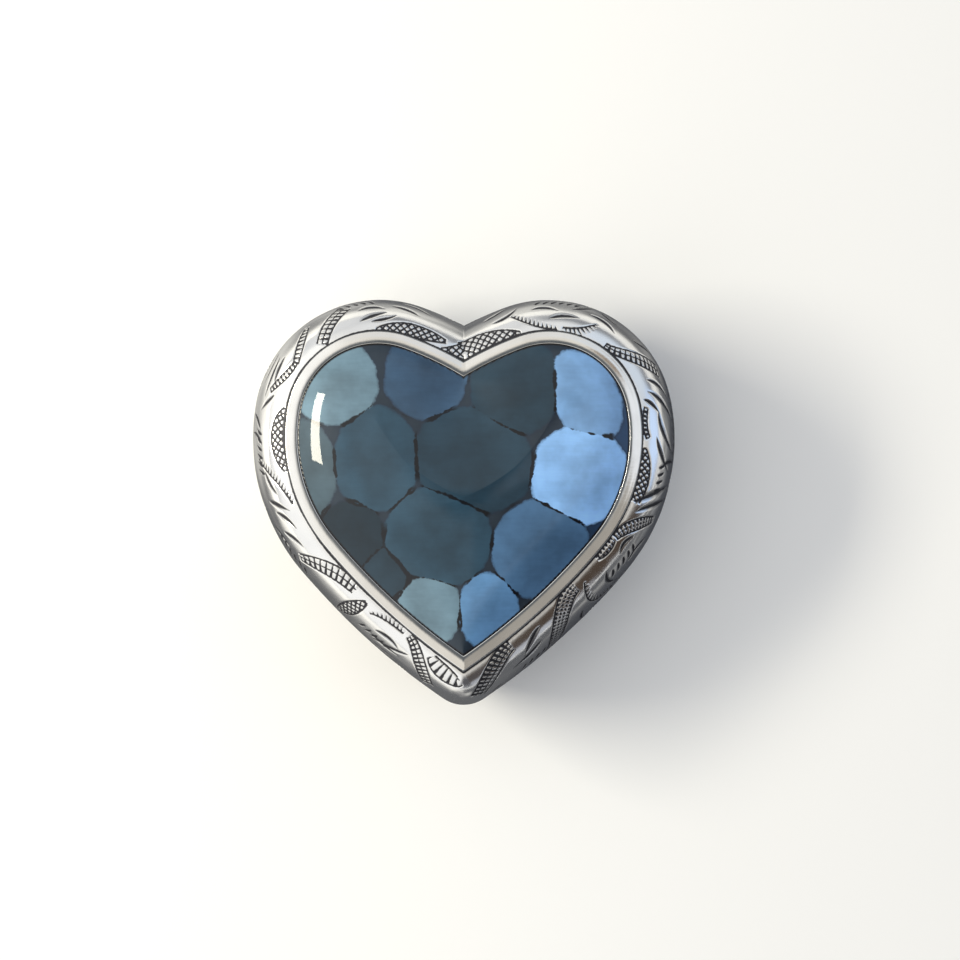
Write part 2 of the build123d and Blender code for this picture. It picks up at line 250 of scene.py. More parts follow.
def tidy_mesh(mesh):
    """Merges points that fall together at the mitres and turns all faces outwards."""
    work = bmesh.new()
    work.from_mesh(mesh)
    bmesh.ops.remove_doubles(work, verts=work.verts, dist=1e-7)
    bmesh.ops.recalc_face_normals(work, faces=work.faces)
    work.to_mesh(mesh)
    work.free()


def sweep(section, step, closed=True):
    """Points and faces of a section carried round the heart."""
    s = girth_stations(step)
    return around(section, s).reshape(-1, 3), band_faces(len(s), len(section), closed)


def rounded(corners, radius, steps=4):
    """Closed or open section with each given corner rounded: corners are (inset, z, round it or not)."""
    points = []
    count = len(corners)
    for k, (x, y, soft) in enumerate(corners):
        here = np.array([x, y])
        if not soft:
            points.append(here)
            continue
        before = np.array(corners[k - 1][:2]) - here
        after = np.array(corners[(k + 1) % count][:2]) - here
        a = here + before / np.linalg.norm(before) * radius
        b = here + after / np.linalg.norm(after) * radius
        for t in np.linspace(0, 1, steps + 1):
            points.append((1 - t) ** 2 * a + 2 * t * (1 - t) * here + t ** 2 * b)
    return points


def set_attribute(mesh, name, values):
    layer = mesh.attributes.new(name, "FLOAT", "POINT")
    layer.data.foreach_set("value", np.asarray(values, np.float32))


def wobble(points, size, seed):
    """Smooth, repeatable unevenness between about -1 and 1, with features of roughly the given size."""
    random = np.random.default_rng(seed)
    total = np.zeros(len(points))
    waves = 9
    for _ in range(waves):
        direction = random.normal(size=3)
        direction /= np.linalg.norm(direction) * size / random.uniform(0.7, 1.6)
        total += np.sin(points @ direction * math.pi + random.uniform(0, 2 * math.pi))
    return total / math.sqrt(waves)


# ---- Engraving --------------------------------------------------------
LINE = 0.26                 # half width of a cut line
LINE_DEPTH = 0.16
INK_REACH = 0.6             # ink is this much on a cut line, and nothing this far from every line
FAR = 1.0                   # a point further than this from every line counts as plain
PANEL_WASH = 0.12           # tarnish of a hatched ground; a leaf stroke has up to 1, tarnish with painted shade


class Skin:
    """The engraved outside of a shell: for each point, how deep it is cut and how near the next line is."""

    def __init__(self, s, v):
        self.points, self.normals = on_side(s, v)
        count = len(self.points)
        self.height = np.zeros(count)
        self.gap = np.full(count, FAR)
        self.tarnish_and_shade = np.zeros(count)

    def near(self, line, reach):
        """Points within reach of a line: indices, distances along and across it, and the line's length."""
        centre, along, across, run = line
        low = centre.min(0) - reach
        high = centre.max(0) + reach
        index = np.flatnonzero(np.all((self.points > low) & (self.points < high), axis=1))
        offset = self.points[index, None, :] - centre[None, :, :]
        nearest = np.argmin((offset ** 2).sum(-1), axis=1)
        offset = offset[np.arange(len(index)), nearest]
        t = run[nearest] + (offset * along[nearest]).sum(-1)
        n = (offset * across[nearest]).sum(-1)
        close = (np.abs(n) < reach) & (t > -reach) & (t < run[-1] + reach)
        close &= (offset ** 2).sum(-1) < (reach + 1) ** 2
        return index[close], t[close], n[close], run[-1]

    def cut(self, index, depth):
        self.height[index] = np.minimum(self.height[index], -depth)

    def darken(self, index, distance):
        self.gap[index] = np.minimum(self.gap[index], distance)

    def add_tarnish_and_shade(self, index, amount):
        self.tarnish_and_shade[index] = np.maximum(self.tarnish_and_shade[index], amount)


def curve(start, middle, end, steps=60):
    """Curve on the side through three (s, v) places: points, directions along and across, running length."""
    t = np.linspace(0, 1, steps)
    weights = ((1 - t) * (1 - 2 * t), 4 * t * (1 - t), t * (2 * t - 1))
    s, v = (sum(w * p[k] for w, p in zip(weights, (start, middle, end))) for k in (0, 1))
    points, normals = on_side(s, np.clip(v, 0, V_END))
    along = np.gradient(points, axis=0)
    along /= np.linalg.norm(along, axis=1)[:, None]
    across = np.cross(normals, along)
    run = np.concatenate([[0], np.cumsum(np.linalg.norm(np.diff(points, axis=0), axis=1))])
    return points, along, across, run


def through(values, q):
    """Smooth function of q in 0..1 through three values at 0, 1/2 and 1."""
    a, b, c = values
    return a * (1 - q) * (1 - 2 * q) + 4 * b * q * (1 - q) + c * q * (2 * q - 1)


def to_grid(value, pitch):
    """Distance to the nearest multiple of pitch."""
    return np.abs((value / pitch + 0.5) % 1 - 0.5) * pitch


RUNG_LEAN = 0.12            # rungs and teeth lean by this much of the ribbon's width
TOOTH_LEAN = 0.35
RAIL_EASE = 0.04            # how much finer a ladder's rails are than its border
RUNG_EASE = 0.08            # the same for the thin end of a rung
RUNG_WEDGE = 0.22           # how much a rung thickens towards its thick end
TOOTH_BOLD = 0.08           # how much bolder a tooth is at its root
TOOTH_TAPER = 0.11          # how much finer it gets by the middle of the ribbon, and again by its tip
BEAD = 0.1                  # radius of the dark middle of a bead


def panel(skin, kind, start, middle, end, widths, pitch, lanes):
    """Hatched ribbon: ladder, lattice, teeth or beads. lanes is how many strips a ladder or bead row has."""
    index, t, n, length = skin.near(curve(start, middle, end), max(widths) / 2 + FAR)
    half = np.maximum(through(widths, np.clip(t / length, 0, 1)), 0.1) / 2
    within = (t > 0) & (t < length)
    inside = within & (np.abs(n) < half)
    edge = np.where(within, np.abs(np.abs(n) - half), FAR)
    skin.add_tarnish_and_shade(index[inside], PANEL_WASH)
    if kind == "lattice":
        hatch = np.minimum(to_grid(t + n, pitch), to_grid(t - n, pitch)) / math.sqrt(2)
    elif kind == "ladder":
        rails = to_grid(n + half, 2 * half / lanes) + RAIL_EASE
        wedge = RUNG_WEDGE * (1 - n / half) / 2
        hatch = np.minimum(to_grid(t + RUNG_LEAN * n, pitch) + RUNG_EASE - wedge, rails)
    elif kind == "teeth":
        hatch = to_grid(t + TOOTH_LEAN * n, pitch) - TOOTH_BOLD + TOOTH_TAPER * (n + half) / half
        edge = np.where(n < 0, edge, FAR)
    else:
        lane = 2 * half / lanes
        dot = np.hypot(to_grid(t, pitch), to_grid(n + half + lane / 2, lane))
        hatch = np.maximum(dot - BEAD, 0)
    distance = np.minimum(edge, np.where(inside, hatch, FAR))
    skin.cut(index, LINE_DEPTH * np.clip(1 - distance / LINE, 0, 1))
    skin.darken(index, distance)


STROKE_LINE = 0.13          # how much bolder the dark line is in the middle of a stroke
STROKE_ENDS = 0.25          # how far it fades at the ends
STROKE_TARNISH_AND_SHADE = 1.6           # how steeply the tarnish and painted shade rise from a stroke's edges, up to 1


def stroke(skin, start, middle, end, width, depth=0.24):
    """Bright-cut leaf stroke: a pointed V with a dark line at the bottom."""
    index, t, n, length = skin.near(curve(start, middle, end, 30), width / 2 + 0.5)
    fullness = np.sin(math.pi * np.clip(t / length, 0, 1) ** 0.8) ** 0.8
    half = np.maximum(width / 2 * fullness, 1e-3)
    inside = (t > 0) & (t < length)
    slope = 1 - np.abs(n) / half
    skin.cut(index, np.where(inside, depth * fullness * np.clip(slope, 0, 1), 0))
    dark = np.clip(np.abs(n) - STROKE_LINE * fullness + STROKE_ENDS * (1 - fullness), 0, FAR)
    skin.darken(index, np.where(inside, dark, FAR))
    # the darkening across a stroke is tarnish and painted shade of its V, whose facets mirror dark surroundings
    skin.add_tarnish_and_shade(index, np.where(inside, np.clip(STROKE_TARNISH_AND_SHADE * slope, 0, 1), 0))


def leaf(skin, base, tip, width, veins):
    """Pointed leaf: two curved edges, a midrib and a few veins."""
    (s0, v0), (s1, v1) = base, tip
    away = np.array([-(v1 - v0), s1 - s0], float)
    away *= width / 2 / np.linalg.norm(away)
    middle = np.array([(s0 + s1) / 2, (v0 + v1) / 2])
    for side in (-1, 1):
        stroke(skin, base, tuple(middle + side * away), tip, 0.45, 0.16)
    stroke(skin, base, tuple(middle), tip, 0.5, 0.2)
    for k in range(1, veins + 1):
        share = k / (veins + 1)
        root = np.array(base) + share * 0.8 * (np.array(tip) - np.array(base))
        for side in (-1, 1):
            out = root + side * away * (1 - share) + 0.18 * (np.array(tip) - np.array(base))
            stroke(skin, tuple(root), tuple((root + out) / 2), tuple(out), 0.5, 0.16)


# Hatched ribbons of the upper side: kind, start, middle and end as (s, v), three widths, pitch, lanes.
PANELS = (
    ("lattice", (-3.5, 0.2), (-1.8, 0.9), (0, 1.9), (0.3, 1.6, 3.6), 1.38, 1),
    ("lattice", (0, 1.9), (4, 1.8), (9, 0.4), (3.6, 3.0, 0.4), 1.38, 1),
    ("teeth", (8.5, 5.2), (12.5, 2.0), (18, 0.6), (0.6, 1.2, 0.6), 0.8, 1),
    ("teeth", (26.5, 3.7), (23.5, 0.9), (19, 0.6), (0.5, 1.5, 0.5), 0.8, 1),
    ("ladder", (30, 0.7), (35.5, 2.4), (41.5, 8.2), (0.8, 2.3, 2.6), 1.05, 2),
    ("beads", (48, 1.2), (51.5, 0.6), (54.5, 1.2), (0.7, 0.8, 0.7), 0.8, 1),
    ("lattice", (56.5, 0.5), (62, 1.1), (68, 1.0), (0.5, 2.4, 1.6), 1.20, 1),
    ("beads", (69.5, 7.8), (72.5, 2.8), (76.5, 0.9), (1.0, 2.2, 1.2), 0.8, 3),
    ("beads", (77, 0.8), (79.5, 0.9), (82, 0.8), (1.0, 1.7, 0.6), 0.8, 2),
    ("teeth", (86.5, 2.2), (87, 8), (80, 10.5), (0.6, 1.6, 0.6), 0.9, 1),
    ("beads", (88.5, 1.2), (94, 4), (99.5, 13), (2.6, 3.2, 2.6), 0.8, 4),
    ("ladder", (104.5, 1.2), (109, 2.8), (115, 7.5), (2.2, 3.2, 3.0), 0.95, 3),
    ("lattice", (-16.5, 0.3), (-8.5, 1.3), (-2.8, 1.9), (0.3, 2.6, 0.5), 1.26, 1),
    ("ladder", (-30, 0.8), (-26.5, 3.9), (-22.5, 8), (1.9, 2.4, 2.8), 1.1, 2),
    ("ladder", (-30.5, 7.5), (-33.5, 4.2), (-37.5, 1.8), (0.9, 1.5, 1.0), 0.9, 1),
    ("beads", (-37, 2.0), (-41, 2.6), (-45, 4.8), (0.8, 1.4, 0.8), 0.8, 2),
    ("lattice", (-48, 0.3), (-53.5, 1.4), (-61.5, 0.4), (0.3, 2.9, 0.4), 1.32, 1),
    ("teeth", (-57.5, 7.6), (-62.5, 2.6), (-68.5, 0.7), (0.6, 1.3, 0.6), 0.85, 1),
    ("ladder", (-78, 6.5), (-83.5, 2.3), (-89.5, 1.2), (1.4, 2.7, 2.0), 1.2, 2),
    ("lattice", (-89.5, 10), (-91, 5.4), (-92.5, 1.4), (0.6, 2.8, 0.6), 1.26, 1),
    ("teeth", (-94, 2.6), (-97, 1.0), (-101.5, 0.8), (0.5, 1.1, 0.6), 0.85, 1),
    ("ladder", (-102.5, 0.8), (-106, 3.0), (-110.5, 8.5), (1.2, 2.3, 2.2), 0.9, 2),
    ("ladder", (-108, 1.2), (-112, 2.6), (-117, 2.2), (1.4, 3.2, 1.2), 1.3, 1),
)

# Leaf strokes of the upper side: start, middle and end as (s, v), width.
STROKES = (
    ((12.5, 5.5), (15, 6.0), (18, 4.8), 0.9),
    ((16, 2.6), (19, 3.6), (22.5, 3.6), 1.1),
    ((26, 9.5), (28, 7.9), (30, 7.0), 0.8),
    ((24, 6), (27.5, 5.6), (30.5, 4), 0.7),
    ((44.5, 2.2), (47, 5.3), (51, 9.2), 1.0),
    ((42, 2.8), (44, 5.8), (47, 8.2), 0.8),
    ((49, 4), (53, 5), (57, 9), 1.2),
    ((54, 3), (57.5, 4.6), (60.5, 8), 0.9),
    ((68.5, 1.2), (66, 3.2), (62.5, 9.8), 1.3),
    ((70, 1.8), (67.5, 4.8), (65, 11), 1.1),
    ((74, 4.2), (76.5, 3.2), (78.5, 4.2), 0.8),
    ((98, 2.1), (100.5, 3.0), (104, 5.6), 1.0),
    ((99.5, 5), (103, 6.2), (107, 6.4), 1.0),
    ((-20, 5.3), (-17.5, 6.2), (-14.5, 5.3), 1.0),
    ((-20, 2.2), (-17.5, 3.3), (-14, 4.4), 1.0),
    ((-17.5, 2.0), (-14.5, 2.6), (-12, 3.8), 0.8),
    ((-37.5, 9), (-40, 8.4), (-44, 8), 0.9),
    ((-37.5, 5.4), (-40.5, 5.0), (-43.5, 4.2), 0.9),
    ((-38, 7), (-42, 6.2), (-46.5, 6), 0.9),
    ((-45.5, 3.2), (-47, 4.6), (-49, 6.8), 0.8),
    ((-60.5, 5.5), (-63, 4.9), (-65.5, 3.4), 0.8),
    ((-66, 6.8), (-67.5, 4.4), (-69.5, 2.0), 0.9),
    ((-68.5, 5.8), (-70.5, 3.8), (-73.5, 2.5), 0.9),
    ((-96.5, 6.8), (-99.5, 7.2), (-103.5, 6.6), 1.0),
    ((-97, 5.0), (-100, 4.2), (-102.5, 5.0), 0.9),
    ((-97.5, 9.5), (-100, 9.8), (-103.5, 9), 0.9),
    ((-95.5, 11.5), (-99, 12), (-102, 11.2), 0.7),
    ((-104.5, 4.2), (-101, 6.4), (-97, 8.2), 0.8),
    ((-52.5, 6.2), (-50.5, 8.2), (-49.5, 10.5), 0.8),
    ((-55.5, 5.6), (-53.5, 8), (-53, 10.6), 0.8),
    ((-72.5, 6.2), (-74.5, 4.6), (-77, 3.6), 0.8),
    ((-70.5, 9.5), (-73, 8), (-76, 7.4), 0.9),
    ((-13.5, 6.8), (-10.5, 6.4), (-7.5, 5.2), 0.9),
    ((-12, 9), (-9, 8.6), (-6, 7), 0.7),
    ((5, 5), (7.5, 5.4), (10, 7.5), 0.8),
    ((3.5, 7), (6, 8), (8.5, 10), 0.8),
    ((20.5, 6), (22.5, 7.6), (24.5, 10), 0.8),
    ((33.5, 6.5), (36, 8.4), (38, 11), 0.8),
    ((46, 0.9), (47.5, 2.6), (49.5, 4.2), 0.7),
    ((59.5, 5.2), (58.5, 8), (58.5, 11), 0.9),
    ((73, 8.5), (76, 7.4), (79, 8), 0.8),
    ((82.5, 4.2), (83.5, 7), (82, 9.5), 0.9),
    ((90.5, 7.5), (91.5, 10), (91, 12.5), 0.7),
    ((110, 9), (112, 10.6), (114.5, 11.4), 0.7),
)
STROKE_SCALE = 1.35

# Rows of short parallel strokes that fill the plain places: first and last s, v of their heads, lean, length.
FEATHERS = (
    (13.5, 22.5, 7.4, 1.2, 2.0),
    (46.0, 57.5, 9.2, 1.6, 2.2),
    (60.0, 65.5, 4.2, -1.0, 2.2),
    (75.5, 83.0, 5.2, 1.2, 2.0),
    (100.0, 106.0, 8.4, 1.4, 2.0),
    (-23.0, -15.5, 7.6, -1.2, 2.0),
    (-45.0, -37.5, 10.2, -1.4, 1.8),
    (-61.0, -52.0, 5.6, 1.2, 2.2),
    (-80.0, -72.0, 7.6, -1.3, 2.0),
    (-101.0, -94.5, 6.0, 1.2, 1.8),
)
FEATHER_PITCH = 1.5
FEATHER_WIDTH = 0.8
FEATHER_DEPTH = 0.2


def engrave(skin):
    for ribbon in PANELS:
        panel(skin, *ribbon)
    for start, middle, end, width in STROKES:
        stroke(skin, start, middle, end, STROKE_SCALE * width)
    for first, last, v, lean, length in FEATHERS:
        for s in np.arange(first, last, FEATHER_PITCH):
            middle = (s + 0.3 * lean, v + length / 2)
            stroke(skin, (s, v), middle, (s + lean, v + length), FEATHER_WIDTH, FEATHER_DEPTH)
    engrave_lower_side(skin)


LOWER_REPEATS = 22


def engrave_lower_side(skin):
    """Below the widest height ribbons and leaves alternate all the way round."""
    spacing = 2 * HALF / LOWER_REPEATS
    kinds = ("ladder", "lattice", "beads")
    for k in range(LOWER_REPEATS):
        s = -HALF + (k + 0.5) * spacing
        lean = 4.0 if k % 2 else -4.0
        path = (s - lean, 11.5), (s + lean / 2, 20), (s - lean / 2, 29.5)
        panel(skin, kinds[k % 3], *path, widths=(1.6, 2.8, 1.4), pitch=1.0, lanes=2)
        s += spacing / 2
        leaf(skin, (s - lean / 2, 12.5), (s + lean / 3, 20.5), width=4.0, veins=3)
        leaf(skin, (s + lean / 2, 29), (s, 21.5), width=3.4, veins=2)


# ---- Shells -----------------------------------------------------------
COLUMN = 0.18               # distance between the columns of an engraved mesh, along the girth
ROW = 0.165


def rows_between(v_from, v_to):
    return np.linspace(v_from, v_to, round((v_to - v_from) / ROW) + 1)


EDGE_FADE = 0.4             # the engraving dies out this close to the shell's edges
DENTS = ((0.03, 9, SEED), (0.012, 3.5, SEED + 1))   # unevenness of the plate: height, size, seed
RIM_LINE = 0.1              # distance of the dark line from the bezel, and how much it wavers
RIM_WAVER = 0.08


def engraved_shell(name, rows, rest, body, nodes, cutters):
    """Shell from rows down its engraved outside and the rest of its section, with the cutters taken out."""
    s = girth_stations(COLUMN)
    grid_s, grid_v = (axis.ravel() for axis in np.meshgrid(s, rows, indexing="ij"))
    skin = Skin(grid_s, grid_v)
    engrave(skin)
    closed = body == "lid"
    if closed:
        line = grid_v - RIM_LINE + RIM_WAVER * wobble(skin.points, 6, SEED + 2)
        skin.darken(np.arange(len(grid_v)), line)
    uneven = sum(height * wobble(skin.points, size, seed) for height, size, seed in DENTS)
    fade = np.clip(np.minimum(grid_v - rows[0], rows[-1] - grid_v) / EDGE_FADE, 0, 1)
    outside = skin.points + skin.normals * (fade * (skin.height + uneven))[:, None]
    points = np.concatenate([outside.reshape(len(s), len(rows), 3), around(rest, s)], axis=1)
    obj = raw_object(name, points.reshape(-1, 3), band_faces(*points.shape[:2], closed))
    for layer, values in (("ink", np.clip(INK_REACH - skin.gap, 0, INK_REACH)), ("tarnish_and_shade", skin.tarnish_and_shade)):
        everywhere = np.zeros(points.shape[:2])
        everywhere[:, :len(rows)] = values.reshape(len(s), -1)
        set_attribute(obj.data, layer, everywhere.ravel())
    tidy_mesh(obj.data)
    for cutter in cutters:
        carve(obj, cutter)
    finish_object(obj, body, nodes, sharp=58)
    return obj


def wall_points(z_from, z_to, skin, steps=24):
    z = np.linspace(z_from, z_to, steps)
    return list(zip(side_inset(z, skin), z))


def height_at(inset, above, skin=0.0):
    """Height at which the rounded side, skin deep, reaches an inset."""
    semi = semi_axis(np.array(GIRTH + 1 if above else GIRTH - 1)) - skin
    reach = semi * math.sqrt(1 - ((BULGE - inset) / (BULGE - skin)) ** 2)
    return GIRTH + reach if above else GIRTH - reach


def lid_shell():
    mouth = groove_mouth(above=True)
    rows = rows_between(0, v_at(mouth))
    roof_low = height_at(SHOULDER_INSET, True, WALL)
    root = side_inset(PARTING) + GROOVE_DEPTH
    rest = [
        (root, PARTING),
        *wall_points(PARTING, roof_low, WALL),
        (ROOF_OPENING, roof_low),
        (ROOF_OPENING, ROOF_TOP),
        (SHOULDER_INSET, ROOF_TOP),
    ]
    leaves = leaf_spaces(LID_KNUCKLE, PARTING - 1, PARTING + LEAF_REACH)
    cutters = (leaves, barrel_spaces(screw_holes=True))
    return engraved_shell("lid_engraved_shell", rows, rest, "lid", ["lid_shell"], cutters)


def base_shell():
    mouth = groove_mouth(above=False)
    rows = rows_between(v_at(mouth), V_END)[::-1]
    root = side_inset(PARTING) + GROOVE_DEPTH
    floor = height_at(SHOULDER_INSET, False, WALL)
    rest = [(root, PARTING), *wall_points(PARTING, floor, WALL)]
    leaves = leaf_spaces(BARREL_LENGTH, PARTING - LEAF_REACH, PARTING + 1)
    cutters = (leaves, barrel_spaces(screw_holes=False))
    return engraved_shell("base_engraved_shell", rows, rest, "base", ["base_shell"], cutters)


# ---- Hinge spaces -----------------------------------------------------
HINGE_X = ARCS[1][0]
BARREL_LENGTH = 9.0
LID_KNUCKLE = 3.6
LEAF_REACH = 3.0
LEAF_DEPTH = 8.0
BARREL_SPACE = (1.15, 9.8)          # radius and length
SCREW_SPOTS = ((1, 60.0), (3, -45.0))
SCREW_INSET = 8.35
SCREW_RADIUS = 0.8


def leaf_spaces(length, bottom, top):
    """Closed mesh of the two spaces that the hinge leaves take out of a shell's wall."""
    work = bmesh.new()
    for side in (-1, 1):
        centre = Vector((side * HINGE_X, HINGE_Y, (bottom + top) / 2))
        add_box(work, centre, (length, LEAF_DEPTH, top - bottom))
    return cutter_object(work)


def barrel_spaces(screw_holes):
    """Closed mesh of the two spaces round the hinge barrels, and of the screw holes in the roof if asked."""
    work = bmesh.new()
    radius, reach = BARREL_SPACE
    for side in (-1, 1):
        add_cylinder(work, Vector((side * HINGE_X, HINGE_Y, HINGE_Z)), radius, reach, along_x=True)
        for arc, direction in SCREW_SPOTS if screw_holes else ():
            cx, cy, radius_there = ARCS[arc][:3]
            away = math.radians(direction)
            x = cx + (radius_there - SCREW_INSET) * math.cos(away)
            y = cy + (radius_there - SCREW_INSET) * math.sin(away)
            add_cylinder(work, Vector((side * x, y, ROOF_TOP - 1)), SCREW_RADIUS, 4)
    return cutter_object(work)


def add_box(work, centre, size):
    made = bmesh.ops.create_cube(work, size=1)["verts"]
    for vert in made:
        vert.co = Vector(centre) + Vector(c * length for c, length in zip(vert.co, size))


def add_cylinder(work, centre, radius, length, along_x=False):
    made = bmesh.ops.create_cone(
        work, cap_ends=True, segments=64, radius1=radius, radius2=radius, depth=length
    )["verts"]
    for vert in made:
        x, y, z = vert.co
        vert.co = Vector(centre) + (Vector((z, y, -x)) if along_x else vert.co)


def cutter_object(work):
    bmesh.ops.scale(work, vec=(MM, MM, MM), verts=work.verts)
    bmesh.ops.recalc_face_normals(work, faces=work.faces)
    mesh = bpy.data.meshes.new("cutter")
    work.to_mesh(mesh)
    work.free()
    obj = bpy.data.objects.new("cutter", mesh)
    bpy.context.scene.collection.objects.link(obj)
    return obj


def carve(obj, cutter):
    """Takes the cutter's volume out of the object, and removes the cutter."""
    modifier = obj.modifiers.new("cut", "BOOLEAN")
    modifier.object = cutter
    modifier.solver = "MANIFOLD"
    bake_modifiers(obj)
    bpy.data.objects.remove(cutter)


def bake_modifiers(obj):
    graph = bpy.context.evaluated_depsgraph_get()
    mesh = bpy.data.meshes.new_from_object(obj.evaluated_get(graph))
    obj.modifiers.clear()
    obj.data = mesh


# ---- Bezel and collar -------------------------------------------------
BEZEL_SIDE = 1.0            # height of the bezel's upright outside
CROWN_START = 0.2           # the crowned top: where it starts, its width, its climb and its swelling
CROWN_WIDTH = 1.75
CROWN_CLIMB = 0.33
CROWN_SWELL = 0.07
SEAT_HEIGHT = 0.82          # seat under the bezel that takes the dome's flange
SEAT_DEPTH = 0.45


def bezel():
    """Polished frame, slightly crowned, that holds the enamel."""
    top = ROOF_TOP + BEZEL_SIDE
    crowned = []
    for q in np.linspace(0, 1, 9)[1:-1]:
        z = top + q * CROWN_CLIMB + CROWN_SWELL * q * (1 - q) * 4
        crowned.append((BEZEL_OUTER + CROWN_START + q * CROWN_WIDTH, z, False))
    corners = [
        (BEZEL_OUTER, ROOF_TOP, False),
        (BEZEL_OUTER, top, True),
        *crowned,
        (BEZEL_INNER, BEZEL_TOP - 0.02, True),
        (BEZEL_INNER, ROOF_TOP + SEAT_HEIGHT, False),
        (BEZEL_INNER - SEAT_DEPTH, ROOF_TOP + SEAT_HEIGHT, False),
        (BEZEL_INNER - SEAT_DEPTH, ROOF_TOP, False),
    ]
    return make_object("bezel_frame", *sweep(rounded(corners, 0.16), 0.4), "lid", ["bezel"], 35)


def collar():
    """Locating ring that stands up from the base and guides the lid, with its edges eased."""
    inner = COLLAR_INSET + COLLAR_THICKNESS
    foot = side_inset(COLLAR_LOW, WALL) + 0.02
    corners = [
        (foot, COLLAR_LOW, False),
        (COLLAR_INSET, PARTING, False),
        (COLLAR_INSET, COLLAR_HIGH, True),
        (inner, COLLAR_HIGH, True),
        (inner, COLLAR_LOW, False),
    ]
    return make_object("locating_collar", *sweep(rounded(corners, 0.3), 0.5), "base", ["base_collar"], 35)


# ---- Enamel dome ------------------------------------------------------
DOME_INSET = 8.75
DOME_RADIUS = 105.0
DOME_MIDDLE = (0.0, 1.0)
DOME_EDGE_HEIGHT = 28.35
DOME_SHOULDER = 8.5         # width of the steep band at the dome's edge
DOME_FULLNESS = 2.0         # a higher power makes that band steeper at its foot
DOME_RISE = 3.4             # how much the band climbs
DOME_SPREAD = 20.0          # width over which the band turns into the sphere
DOME_SHEET = 1.0
FLANGE_HEIGHT = 0.78
FLANGE_GAP = 0.05           # between the flange and the edge of its seat

# Four glazes, and the pebbles: centre x and y, half width, half height, turn in degrees, glaze, strength.
PALE = (0.12, 0.20, 0.26)
TEAL = (0.02, 0.055, 0.09)
BLUE = (0.11, 0.25, 0.46)
SKY = (0.28, 0.53, 0.92)
PEBBLES = (
    (-22.6, 20.8, 7.2, 7.3, 0, PALE, 1.0),
    (-6.5, 22.6, 7.0, 8.0, -8, BLUE, 0.3),
    (9.1, 20.5, 7.6, 8.7, 6, TEAL, 0.6),
    (21.4, 18.4, 5.5, 8.1, 26, SKY, 0.7),
    (-15.2, 7.2, 7.2, 8.8, 0, TEAL, 1.0),
    (1.7, 7.0, 10.3, 8.7, -20, TEAL, 0.7),
    (20.4, 4.4, 8.4, 8.3, 0, SKY, 1.0),
    (-28.6, 5.2, 6.0, 8.6, 0, PALE, 0.4),
    (-4.4, -6.3, 9.1, 8.5, -12, TEAL, 1.0),
    (13.5, -8.6, 8.3, 8.4, 0, BLUE, 0.6),
    (-19.8, -5.9, 5.6, 5.6, 20, TEAL, 0.3),
    (-6.3, -18.9, 5.6, 6.4, 15, PALE, 1.0),
    (4.4, -19.3, 5.0, 6.3, -4, BLUE, 1.0),
    (-13.2, -12.8, 3.2, 4.8, 42, TEAL, 0.5),
)
PEBBLE_POWER = 2.08         # a little squarer than an ellipse, which has 2


def distance_to_edge(x, y, inset):
    """Distance in from the outline at an inset. It blends softly midway between the left and right sides."""
    total = 0
    s = np.linspace(0, HALF, 260)
    for half in (-s, s):
        ex, ey, _, _ = place(half, inset)
        near = np.full(x.shape, 1e9)
        for start in range(0, len(ex), 20):
            few = slice(start, start + 20)
            gap = (x[..., None] - ex[few]) ** 2 + (y[..., None] - ey[few]) ** 2
            near = np.minimum(near, gap.min(-1))
        total = total + np.maximum(near, 1e-8) ** -1.5
    return total ** (-1 / 3)


def dome_height(x, y, inset, edge, drop=0.0):
    """Height of the dome, drop millimetres under its skin."""
    top = DOME_TOP - drop
    reach = (x - DOME_MIDDLE[0]) ** 2 + (y - DOME_MIDDLE[1]) ** 2
    sphere = top - DOME_RADIUS + np.sqrt(DOME_RADIUS ** 2 - reach)
    away = distance_to_edge(x, y, inset)
    band = edge + DOME_RISE * (1 - (1 - np.clip(away / DOME_SHOULDER, 0, 1)) ** DOME_FULLNESS)
    inward = np.clip(away / DOME_SPREAD, 0, 1)
    return band + (sphere - edge - DOME_RISE) * inward * inward * (3 - 2 * inward)


def drawn_in(s, inset, share):
    """Plan positions between the middle, share 0, and the outline at an inset, share 1: (columns, shares)."""
    ex, ey, _, _ = place(s, inset)
    x = DOME_MIDDLE[0] + (ex[:, None] - DOME_MIDDLE[0]) * share
    y = DOME_MIDDLE[1] + (ey[:, None] - DOME_MIDDLE[1]) * share
    return x, y


def disc_rows(inset, s, edge, rings, drop=0.0):
    """Rings of points from the outline at an inset in to the middle: an array of (columns, rings, 3)."""
    x, y = drawn_in(s, inset, 1 - np.linspace(0, 1, rings, endpoint=False) ** 1.15)
    return np.stack([x, y, dome_height(x, y, inset, edge, drop)], -1)


def enamel_dome():
    """Hollow domed sheet with a flange under the bezel. It carries the distances of its pebbles' outlines."""
    s = girth_stations(0.33)
    outer = disc_rows(DOME_INSET, s, DOME_EDGE_HEIGHT, 130)[:, ::-1]
    inner = disc_rows(DOME_INSET + 2 * DOME_SHEET, s, ROOF_TOP + 0.4, 40, DOME_SHEET)
    flange = BEZEL_INNER - SEAT_DEPTH + FLANGE_GAP
    corners = [
        (DOME_INSET, ROOF_TOP + FLANGE_HEIGHT),
        (flange, ROOF_TOP + FLANGE_HEIGHT),
        (flange, ROOF_TOP),
        (DOME_INSET + 2, ROOF_TOP),
    ]
    points = np.concatenate([outer, around(corners, s), inner], axis=1)
    faces = band_faces(*points.shape[:2], closed=False)
    points = points.reshape(-1, 3)
    obj = raw_object("pebble_enamel_dome", points, faces)
    paint_pebbles(obj.data, points)
    tidy_mesh(obj.data)
    finish_object(obj, "lid", ["enamel_dome"], 50)
    return obj


